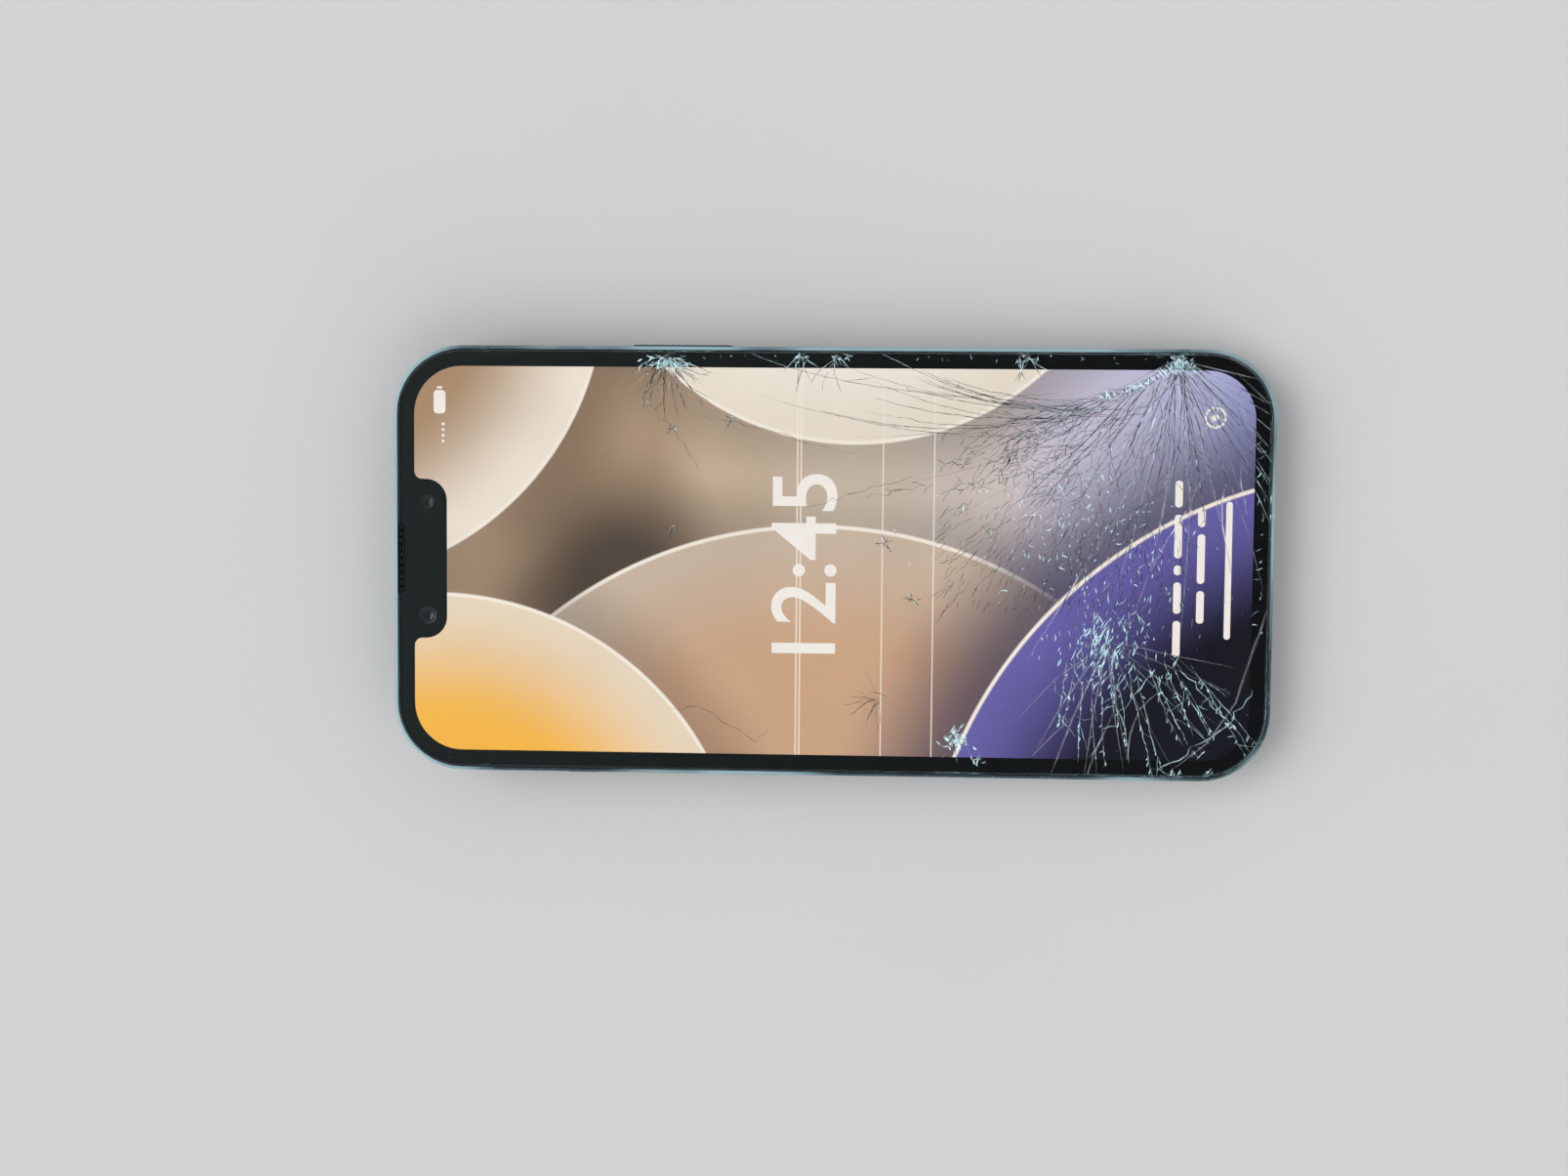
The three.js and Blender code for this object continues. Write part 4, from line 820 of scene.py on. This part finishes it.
def fan(origin, first, last, count, lengths, width, bend=0.0, wobble=5.0, forks=0):
    """Cracks that spread from one place, their headings from first to last, with forks on each.

    Gives back their lines.
    """
    lines = []
    for i in range(count):
        part = (i + rng.uniform(-0.4, 0.4)) / max(count - 1, 1)
        start = Vector(origin) + Vector((rng.gauss(0.0, FAN_SPREAD), rng.gauss(0.0, FAN_SPREAD)))
        length = rng.uniform(*lengths)
        line = grow(start, first + (last - first) * part, length, bend * rng.uniform(0.4, 1.3), wobble)
        line = add_crack(line, width * rng.uniform(0.7, 1.25))
        for _ in range(forks):
            branch(line, width)
        lines.append(line)
    return lines


def tie(lines, count, width, reach=5.0):
    """Short cracks across from one line of a fan to the next."""
    for _ in range(count):
        at = rng.randrange(len(lines) - 1)
        first, second = lines[at], lines[at + 1]
        if len(first) < 4 or len(second) < 4:
            continue
        part = rng.uniform(0.2, 0.95)
        start = first[int(part * (len(first) - 1))]
        end = second[min(int(part * len(first) * rng.uniform(0.85, 1.1)), len(second) - 1)]
        if (end - start).length < reach:
            middle = (start + end) / 2 + Vector((rng.gauss(0.0, 0.25), rng.gauss(0.0, 0.25)))
            add_crack([start, middle, end], width * rng.uniform(0.7, 1.2))


def glints(centre, spread, count, lengths, widths, heading, turn, shade_to_glint=1.0):
    """Short splinters painted bright as glints, about a place, spread across and along it.

    Their headings scatter by turn, and none is painted brighter than shade_to_glint.
    """
    for _ in range(count):
        start = Vector(centre) + Vector((rng.gauss(0.0, spread[0]), rng.gauss(0.0, spread[1])))
        length = rng.uniform(*lengths)
        line = grow(start, rng.gauss(heading, turn), length, wobble=11.0, step=length / 2)
        add_crack(line, rng.uniform(*widths), shade_to_glint * rng.uniform(0.45, 1.0))


def beads(line, count):
    """Splinters painted bright as glints here and there along a crack."""
    for _ in range(count):
        glints(rng.choice(line), (0.12, 0.12), 1, (0.4, 1.1), (0.1, 0.2), heading=268.0, turn=24.0)


def star(centre, arms, lengths, width):
    """A small mark with a few arms all round and a splinter or two painted bright as glints."""
    turn = rng.uniform(0.0, 360.0)
    for i in range(arms):
        heading = turn + 360.0 * i / arms + rng.gauss(0.0, 18.0)
        add_crack(grow(centre, heading, rng.uniform(*lengths), wobble=14.0, step=0.35), width)
    glints(centre, (0.35, 0.35), 4, (0.3, 0.8), (0.08, 0.16), heading=turn, turn=60.0, shade_to_glint=0.8)


def path(spots, width):
    """A crack through given places, slightly uneven between them."""
    line = [Vector(spots[0])]
    for start, end in zip(spots, spots[1:]):
        start, end = Vector(start), Vector(end)
        count = max(2, round((end - start).length / 1.1))
        for i in range(1, count):
            slip = Vector((rng.gauss(0.0, PATH_WOBBLE), rng.gauss(0.0, PATH_WOBBLE)))
            line.append(start + (end - start) * (i / count) + slip)
        line.append(end)
    add_crack(line, width)


def net(centre, spread, count):
    """Small forked cracks scattered over a place, each pointing away from the main blow."""
    for _ in range(count):
        spot = Vector(centre) + Vector((rng.gauss(0.0, spread[0]), rng.gauss(0.0, spread[1])))
        heading = heading_of(spot - Vector(MAIN_IMPACT)) + rng.gauss(0.0, 14.0)
        width = rng.uniform(0.06, 0.12)
        for turn in (180.0, rng.uniform(18.0, 50.0), -rng.uniform(18.0, 50.0)):
            line = grow(spot, heading + turn, rng.uniform(0.8, 3.2), wobble=13.0, step=0.5)
            add_crack(line, width)


def row_spots(count, first, step):
    """Places in a straight row."""
    return [(first[0] + step[0] * i, first[1] + step[1] * i) for i in range(count)]


# Places of the break on the glass, in millimetres across and along the phone
MAIN_IMPACT = (33.9, -57.0)
LADDER_END = (27.8, -44.2)
NET_CENTRE = (17.0, -33.0)
CRUSH = (-12.5, -46.4)
CRUSH_CORE = (-13.5, -45.4)
SIDE_IMPACT = (33.4, 27.0)
EDGE_CHIPS = [(33.8, 5.0), (33.9, -0.9), (34.0, -32.0)]
FLAKE = (-29.2, -21.2)
FLAKE_REST = (-32.2, -24.8)
PIT = (-22.5, -8.4)
STARS = [(22.1, 26.4), (23.7, 16.7), (5.0, 26.4), (-5.9, -13.9), (3.4, -9.3)]
CORNER_SPLINTERS = [(-25.9, -66.7), (-34.3, -63.2), (-34.2, -58.0), (-30.5, -61.5)]
# Rows of splinters along two edges: how many, the first one's place, and the step to the next
RIGHT_EDGE_ROW = (26, (33.9, 22.0), (0.0, -3.1))
BOTTOM_EDGE_ROW = (18, (20.0, -71.2), (-1.8, 0.0))

# Single cracks: the places that each runs through, and its width
CORNER_CRACKS = [
    ([(-29.9, -60.2), (-25.9, -66.7), (-20.2, -70.2)], 0.11),
    ([(-33.6, -55.0), (-31.6, -59.2), (-29.9, -60.2)], 0.11),
    ([(-15.0, -56.5), (-21.0, -62.0), (-25.9, -66.7), (-30.5, -70.0)], 0.1),
]
LONE_CRACKS = [
    ([(28.6, 32.4), (22.1, 26.4), (14.8, 21.5)], 0.08),
    ([(-24.6, 26.7), (-24.6, 21.1), (-30.2, 12.1), (-27.0, 9.7)], 0.09),
    ([(9.1, 4.0), (13.2, -9.0), (14.2, -14.0)], 0.08),
    ([(10.7, -5.0), (13.2, -15.5)], 0.08),
    ([(24.6, 22.7), (21.6, 9.0), (18.0, -4.1)], 0.08),
]

# The ladder of short cracks that leaves the main blow
LADDER_RUNGS = 38
LADDER_BOW = 1.1
LADDER_RAILS = (-0.55, 0.5)
RUNG_LENGTHS = (0.6, 1.9)
RUNG_WIDTHS = (0.1, 0.22)
# How bright the rungs are painted as glints, and the level of a crack painted dark as shade
RUNG_GLINTS = (0.9, 1.4)
SHADED_CRACK = 0.1

# Cracks that sweep away from the ladder to the top end
SWEEP_COUNT = 17
SWEEP_HEADING = 194.0
SWEEP_LENGTHS = (20.0, 60.0)
SWEEP_WIDTHS = (0.07, 0.12)

# Forked cracks from the ladder over the picture, each heading less far round than the one before
ROOT_COUNT = 22
ROOT_HEADING = 248.0
ROOT_TURN = 2.5
ROOT_LENGTHS = (14.0, 30.0)
ROOT_WIDTHS = (0.08, 0.14)

# Cracks from the crushed place: the first one's place along and heading, and their change to the last
LOWER_COUNT = 16
LOWER_ALONG = -39.5
LOWER_SPAN = 22.0
LOWER_HEADING = 258.0
LOWER_TURN = 48.0
LOWER_LENGTHS = (9.0, 24.0)
LOWER_WIDTHS = (0.045, 0.085)

# Splinters in the middle: centre, spread, how many, lengths, widths, heading and its scatter
MIDDLE_SPLINTERS = [
    ((9.0, -37.0), (5.0, 9.0), 200, (0.4, 1.3), (0.09, 0.2), 262.0, 45.0),
    ((0.0, -45.0), (6.0, 8.0), 110, (0.3, 1.0), (0.07, 0.17), 264.0, 30.0),
    (CRUSH, (4.2, 5.0), 210, (0.5, 2.0), (0.08, 0.2), 264.0, 20.0),
    (CRUSH_CORE, (2.6, 1.2), 46, (0.8, 2.4), (0.1, 0.24), 252.0, 12.0),
]

# Short hairlines in the middle: how many in each patch, and the patch's span across and along
HAIR_PATCHES = [(230, (-7.0, 11.0), (-54.0, -19.0)), (170, (-7.0, 9.0), (-60.0, -36.0))]
HAIR_LENGTHS = (1.0, 3.8)
HAIR_WIDTHS = (0.06, 0.1)


def ladder():
    """Two rails and the rungs across them, the rails and every third rung painted dark as shade, the rest
    painted as glints. Gives back the line between the rails.
    """
    start, end = Vector(MAIN_IMPACT), Vector(LADDER_END)
    step = end - start
    side = Vector((-step.y, step.x)).normalized()
    bow = side * LADDER_BOW
    middle_line = []
    for i in range(LADDER_RUNGS + 1):
        middle_line.append(start + step * (i / LADDER_RUNGS) + bow * math.sin(math.pi * i / LADDER_RUNGS))
    for shift in LADDER_RAILS:
        rail = [spot + side * (shift * (1 - 0.4 * i / LADDER_RUNGS)) for i, spot in enumerate(middle_line)]
        add_crack(rail, 0.1, SHADED_CRACK)
    for i, spot in enumerate(middle_line):
        heading = heading_of(side) + rng.gauss(0.0, 26.0)
        length = rng.uniform(*RUNG_LENGTHS)
        back = spot - towards(heading) * length / 2
        shade_to_glint = rng.uniform(*RUNG_GLINTS) if i % 3 else SHADED_CRACK
        line = grow(back, heading, length, wobble=9.0, step=0.5)
        add_crack(line, rng.uniform(*RUNG_WIDTHS), shade_to_glint)
    return middle_line


def sweeps(ladder_line):
    """Long cracks that bend away from the ladder towards the top end, tied to each other."""
    lines = []
    for i in range(SWEEP_COUNT):
        away = Vector((rng.uniform(-6.0, 0.5), rng.uniform(0.0, 8.0)))
        root = ladder_line[LADDER_RUNGS - rng.randrange(0, 22)] + away
        heading = SWEEP_HEADING - i + rng.gauss(0.0, 3.0)
        line = grow(root, heading, rng.uniform(*SWEEP_LENGTHS), bend=-26.0, wobble=4.0)
        lines.append(add_crack(line, rng.uniform(*SWEEP_WIDTHS)))
    tie(lines, 26, 0.065)


def roots(ladder_line):
    """Forked cracks from the ladder over the picture, tied to each other."""
    lines = []
    for i in range(ROOT_COUNT):
        root = ladder_line[min(LADDER_RUNGS, 8 + round(1.4 * i))]
        heading = ROOT_HEADING - ROOT_TURN * i + rng.gauss(0.0, 4.0)
        line = grow(root, heading, rng.uniform(*ROOT_LENGTHS), bend=-4.0, wobble=8.0)
        line = add_crack(line, rng.uniform(*ROOT_WIDTHS))
        for _ in range(3):
            branch(line, 0.1)
        lines.append(line)
    tie(lines, 70, 0.085)


def main_break():
    """The blow on the right side near the bottom end."""
    ladder_line = ladder()
    glints(MAIN_IMPACT, (0.6, 1.3), 40, (0.4, 1.4), (0.08, 0.24), heading=235.0, turn=45.0)
    sweeps(ladder_line)
    roots(ladder_line)
    net(NET_CENTRE, (4.2, 7.5), 95)
    to_left = fan(MAIN_IMPACT, 246.0, 291.0, 19, (15.0, 31.0), 0.1, bend=-4.0, wobble=4.5, forks=2)
    tie(to_left, 40, 0.08)
    to_bottom = fan(MAIN_IMPACT, 298.0, 326.0, 12, (12.0, 34.0), 0.09, bend=-9.0, wobble=1.5)
    tie(to_bottom, 6, 0.06)


def crushed_middle():
    """Fine hairlines painted dark as shade, and splinters painted bright as glints, between the main blow and
    the crushed place, and on that.
    """
    for count, across, along in HAIR_PATCHES:
        for _ in range(count):
            start = Vector((rng.uniform(*across), rng.uniform(*along)))
            heading = heading_of(start - Vector(MAIN_IMPACT)) + rng.gauss(6.0, 8.0)
            line = grow(start, heading, rng.uniform(*HAIR_LENGTHS), wobble=14.0, step=0.5)
            add_crack(line, rng.uniform(*HAIR_WIDTHS), SHADED_CRACK)
    for splinters in MIDDLE_SPLINTERS:
        glints(*splinters)


def lower_fan():
    """Long cracks from the crushed place to the left side and the bottom corner, painted bright as glints
    over the dark picture, with more glints along them.
    """
    lines = []
    for i in range(LOWER_COUNT):
        part = i / (LOWER_COUNT - 1)
        start = (CRUSH[0] - rng.uniform(2.0, 7.0), LOWER_ALONG - LOWER_SPAN * part)
        heading = LOWER_HEADING + LOWER_TURN * part + rng.gauss(0.0, 3.0)
        line = grow(start, heading, rng.uniform(*LOWER_LENGTHS), bend=3.0, wobble=6.0, step=0.7)
        line = add_crack(line, rng.uniform(*LOWER_WIDTHS))
        branch(line, 0.07)
        beads(line, 10)
        lines.append(line)
    tie(lines, 9, 0.07, 4.0)
    for spots, width in CORNER_CRACKS:
        path(spots, width)
    for spot in CORNER_SPLINTERS:
        glints(spot, (0.4, 0.5), 7, (0.4, 1.1), (0.1, 0.22), heading=290.0, turn=50.0)


def small_marks():
    """The second blow on the right side, chips along the edge, and marks elsewhere."""
    fan(SIDE_IMPACT, 196.0, 338.0, 25, (3.0, 10.5), 0.1, bend=26.0, wobble=7.0, forks=1)
    glints(SIDE_IMPACT, (0.55, 2.6), 34, (0.4, 1.5), (0.1, 0.28), heading=250.0, turn=55.0)
    for spot in EDGE_CHIPS:
        glints(spot, (0.45, 1.0), 15, (0.4, 1.3), (0.1, 0.26), heading=255.0, turn=60.0)
        fan(spot, 225.0, 315.0, 5, (1.5, 6.5), 0.09, bend=20.0, wobble=8.0)
    for spot in row_spots(*RIGHT_EDGE_ROW):
        glints(spot, (0.3, 1.2), 1, (0.3, 1.0), (0.07, 0.16), heading=90.0, turn=50.0, shade_to_glint=0.8)
    for spot in row_spots(*BOTTOM_EDGE_ROW):
        glints(spot, (0.6, 0.35), 1, (0.4, 1.5), (0.08, 0.18), heading=260.0, turn=35.0, shade_to_glint=0.9)
    glints(FLAKE, (0.8, 1.0), 44, (0.5, 1.8), (0.16, 0.42), heading=290.0, turn=60.0)
    glints(FLAKE_REST, (0.5, 0.6), 12, (0.4, 1.1), (0.1, 0.26), heading=290.0, turn=60.0)
    fan(FLAKE, 60.0, 330.0, 9, (1.5, 4.5), 0.09, bend=10.0, wobble=9.0)
    fan(PIT, 150.0, 265.0, 9, (2.5, 6.0), 0.11, bend=18.0, wobble=8.0)
    for spot in STARS:
        star(spot, rng.randrange(5, 8), (0.8, 2.2), 0.12)
    for spots, width in LONE_CRACKS:
        path(spots, width)


# A crack's body: a wedge that stands a little proud of the glass, leans, and thins out at its ends
CRACK_PROUD = 0.004
CRACK_LEAN = 0.35
CRACK_DEPTH = 0.45
DEPTH_PER_WIDTH = 2.5
END_TAPER = 0.75
WIDTH_SCATTER = (0.55, 1.25)
# The painted level of a crack given none: a glint over a black picture, and its drop towards painted shade
# over a white one
GLINT_OVER_BLACK = 0.78
DROP_TO_SHADE = 0.68
# How much the painted shade and glint scatter along a crack, and the level of its two end faces
GLINT_SCATTER = 0.17
END_GLINT_LEVEL = 0.5
# The dark corner of the picture: the spans along and across the phone over which it fades out
DARK_ALONG = (-36.0, -12.0)
DARK_ACROSS = (-14.0, 4.0)


def picture_light(spot):
    """About how bright the picture is under a place on the glass, from 0 to 1."""
    if box_reach(spot, SCREEN_WIDTH, SCREEN_LENGTH, SCREEN_CORNER) > 0:
        return 0.0
    end = 1 - ease(spot[1], *DARK_ALONG)
    low = 1 - ease(spot[0], *DARK_ACROSS)
    return 0.95 - 0.1 * end - 0.8 * end * low


def crack_pieces():
    """One closed wedge along each crack, as points and faces with a level from painted shade to painted glint
    for each face.
    """
    points, faces, face_shade_to_glint = [], [], []
    for line, width, shade_to_glint in cracks:
        first = len(points)
        last = len(line) - 1
        for i, spot in enumerate(line):
            along = (line[min(i + 1, last)] - line[max(i - 1, 0)]).normalized()
            left = Vector((-along.y, along.x))
            taper = 1 - END_TAPER * abs(2 * i / last - 1) ** 3
            half = width / 2 * taper * rng.uniform(*WIDTH_SCATTER)
            for side in (-1, 1):
                edge = spot + left * (half * side)
                rise = CRACK_PROUD + rng.uniform(0.0, half * CRACK_LEAN)
                points.append((edge.x, edge.y, GLASS_TOP + rise))
            points.append((spot.x, spot.y, GLASS_TOP - min(CRACK_DEPTH, DEPTH_PER_WIDTH * width)))
        for i in range(last):
            a = first + 3 * i
            b = a + 3
            faces += [(a, b, b + 1, a + 1), (a + 1, b + 1, b + 2, a + 2), (a, a + 2, b + 2, b)]
            # A crack given no level is painted as a glint over a dark picture and as shade over a bright one
            shown = shade_to_glint
            if shown is None:
                shown = GLINT_OVER_BLACK - DROP_TO_SHADE * picture_light(line[i])
            shown += rng.gauss(0.0, GLINT_SCATTER)
            face_shade_to_glint += [shown] * 3
        end = first + 3 * last
        faces += [(first, first + 1, first + 2), (end + 1, end, end + 2)]
        face_shade_to_glint += [END_GLINT_LEVEL, END_GLINT_LEVEL]
    return points, faces, face_shade_to_glint


def crack_lines():
    main_break()
    crushed_middle()
    lower_fan()
    small_marks()
    points, faces, face_shade_to_glint = crack_pieces()
    made = piece("crack_lines", points, faces, crack_glints_and_shade())
    layer = made.data.attributes.new("shade_to_glint", "FLOAT", "FACE")
    layer.data.foreach_set("value", face_shade_to_glint)


border_print()
screen_marks()
crack_lines()


# Studio

FLOOR_REACH = 4.0
FLOOR_DROP = -0.00002
FLOOR_DARK = (0.73, 0.72, 0.72, 1.0)
FLOOR_LIGHT = (0.76, 0.75, 0.75, 1.0)
WORLD_HORIZON = (0.6, 0.61, 0.62, 1.0)
WORLD_TOP_NEAR = (0.17, 0.22, 0.22, 1.0)
WORLD_TOP_FAR = (0.05, 0.06, 0.07, 1.0)
# Spans of a direction's upward part, over which the world dims, and of its part along the phone, over which
# the dim top changes from far to near
WORLD_DIMMING = (0.7, 0.93)
WORLD_TOP_CHANGE = (-0.2, 0.3)
# The direction each lamp shines from, its spread in degrees and its strength
LAMPS = [
    ((0.1, 1.0, 1.0), 50.0, 1.4),
    ((-0.9, -0.5, 0.9), 70.0, 0.6),
]


def floor_paint():
    surface = Finish("floor_paint")
    cloud = surface.noise(0.01, 3.0)
    return surface.shade(
        base_color=surface.mix(cloud, FLOOR_DARK, FLOOR_LIGHT),
        roughness=surface.span(cloud, 0.3, 0.7, 0.6, 0.7),
    )


def floor():
    mesh = bpy.data.meshes.new("floor")
    signs = [(-1, -1), (1, -1), (1, 1), (-1, 1)]
    corners = [(x * FLOOR_REACH, y * FLOOR_REACH, FLOOR_DROP) for x, y in signs]
    mesh.from_pydata(corners, [], [(0, 1, 2, 3)])
    mesh.materials.append(floor_paint())
    made = bpy.data.objects.new("floor", mesh)
    bpy.context.scene.collection.objects.link(made)


def soft_lamp(direction, spread, strength):
    """A broad soft light from far away, which the glass doesn't mirror."""
    lamp = bpy.data.lights.new("soft_lamp", "SUN")
    lamp.angle = math.radians(spread)
    lamp.energy = strength
    made = bpy.data.objects.new("soft_lamp", lamp)
    made.location = direction
    made.rotation_mode = "QUATERNION"
    made.rotation_quaternion = (-Vector(direction)).to_track_quat("-Z", "Y")
    made.visible_glossy = False
    bpy.context.scene.collection.objects.link(made)


def studio_world():
    """Soft light all round, pale at the horizon and dimmer overhead."""
    world = bpy.data.worlds.new("studio")
    world.use_nodes = True
    tree = world.node_tree

    def span(value, limits):
        made = tree.nodes.new("ShaderNodeMapRange")
        made.interpolation_type = "SMOOTHSTEP"
        made.inputs["From Min"].default_value, made.inputs["From Max"].default_value = limits
        tree.links.new(value, made.inputs["Value"])
        return made.outputs[0]

    def mix(factor, first):
        made = tree.nodes.new("ShaderNodeMix")
        made.data_type = "RGBA"
        made.inputs[6].default_value = first
        tree.links.new(factor, made.inputs[0])
        return made

    coords = tree.nodes.new("ShaderNodeTexCoord")
    apart = tree.nodes.new("ShaderNodeSeparateXYZ")
    tree.links.new(coords.outputs["Generated"], apart.inputs[0])
    top = mix(span(apart.outputs["Y"], WORLD_TOP_CHANGE), WORLD_TOP_FAR)
    top.inputs[7].default_value = WORLD_TOP_NEAR
    shade = mix(span(apart.outputs["Z"], WORLD_DIMMING), WORLD_HORIZON)
    tree.links.new(top.outputs[2], shade.inputs[7])
    tree.links.new(shade.outputs[2], tree.nodes["Background"].inputs["Color"])
    bpy.context.scene.world = world


def photo_camera():
    data = bpy.data.cameras.new("camera")
    data.sensor_width = CAMERA_SENSOR
    data.lens = CAMERA_LENS
    data.clip_start = CAMERA_NEAR
    made = bpy.data.objects.new("camera", data)
    made.location = [value * MM for value in CAMERA_PLACE]
    made.rotation_euler = [math.radians(value) for value in CAMERA_TURN]
    bpy.context.scene.collection.objects.link(made)
    bpy.context.scene.camera = made


floor()
for direction, spread, strength in LAMPS:
    soft_lamp(direction, spread, strength)
studio_world()
photo_camera()
bpy.context.scene.view_settings.view_transform = "Standard"
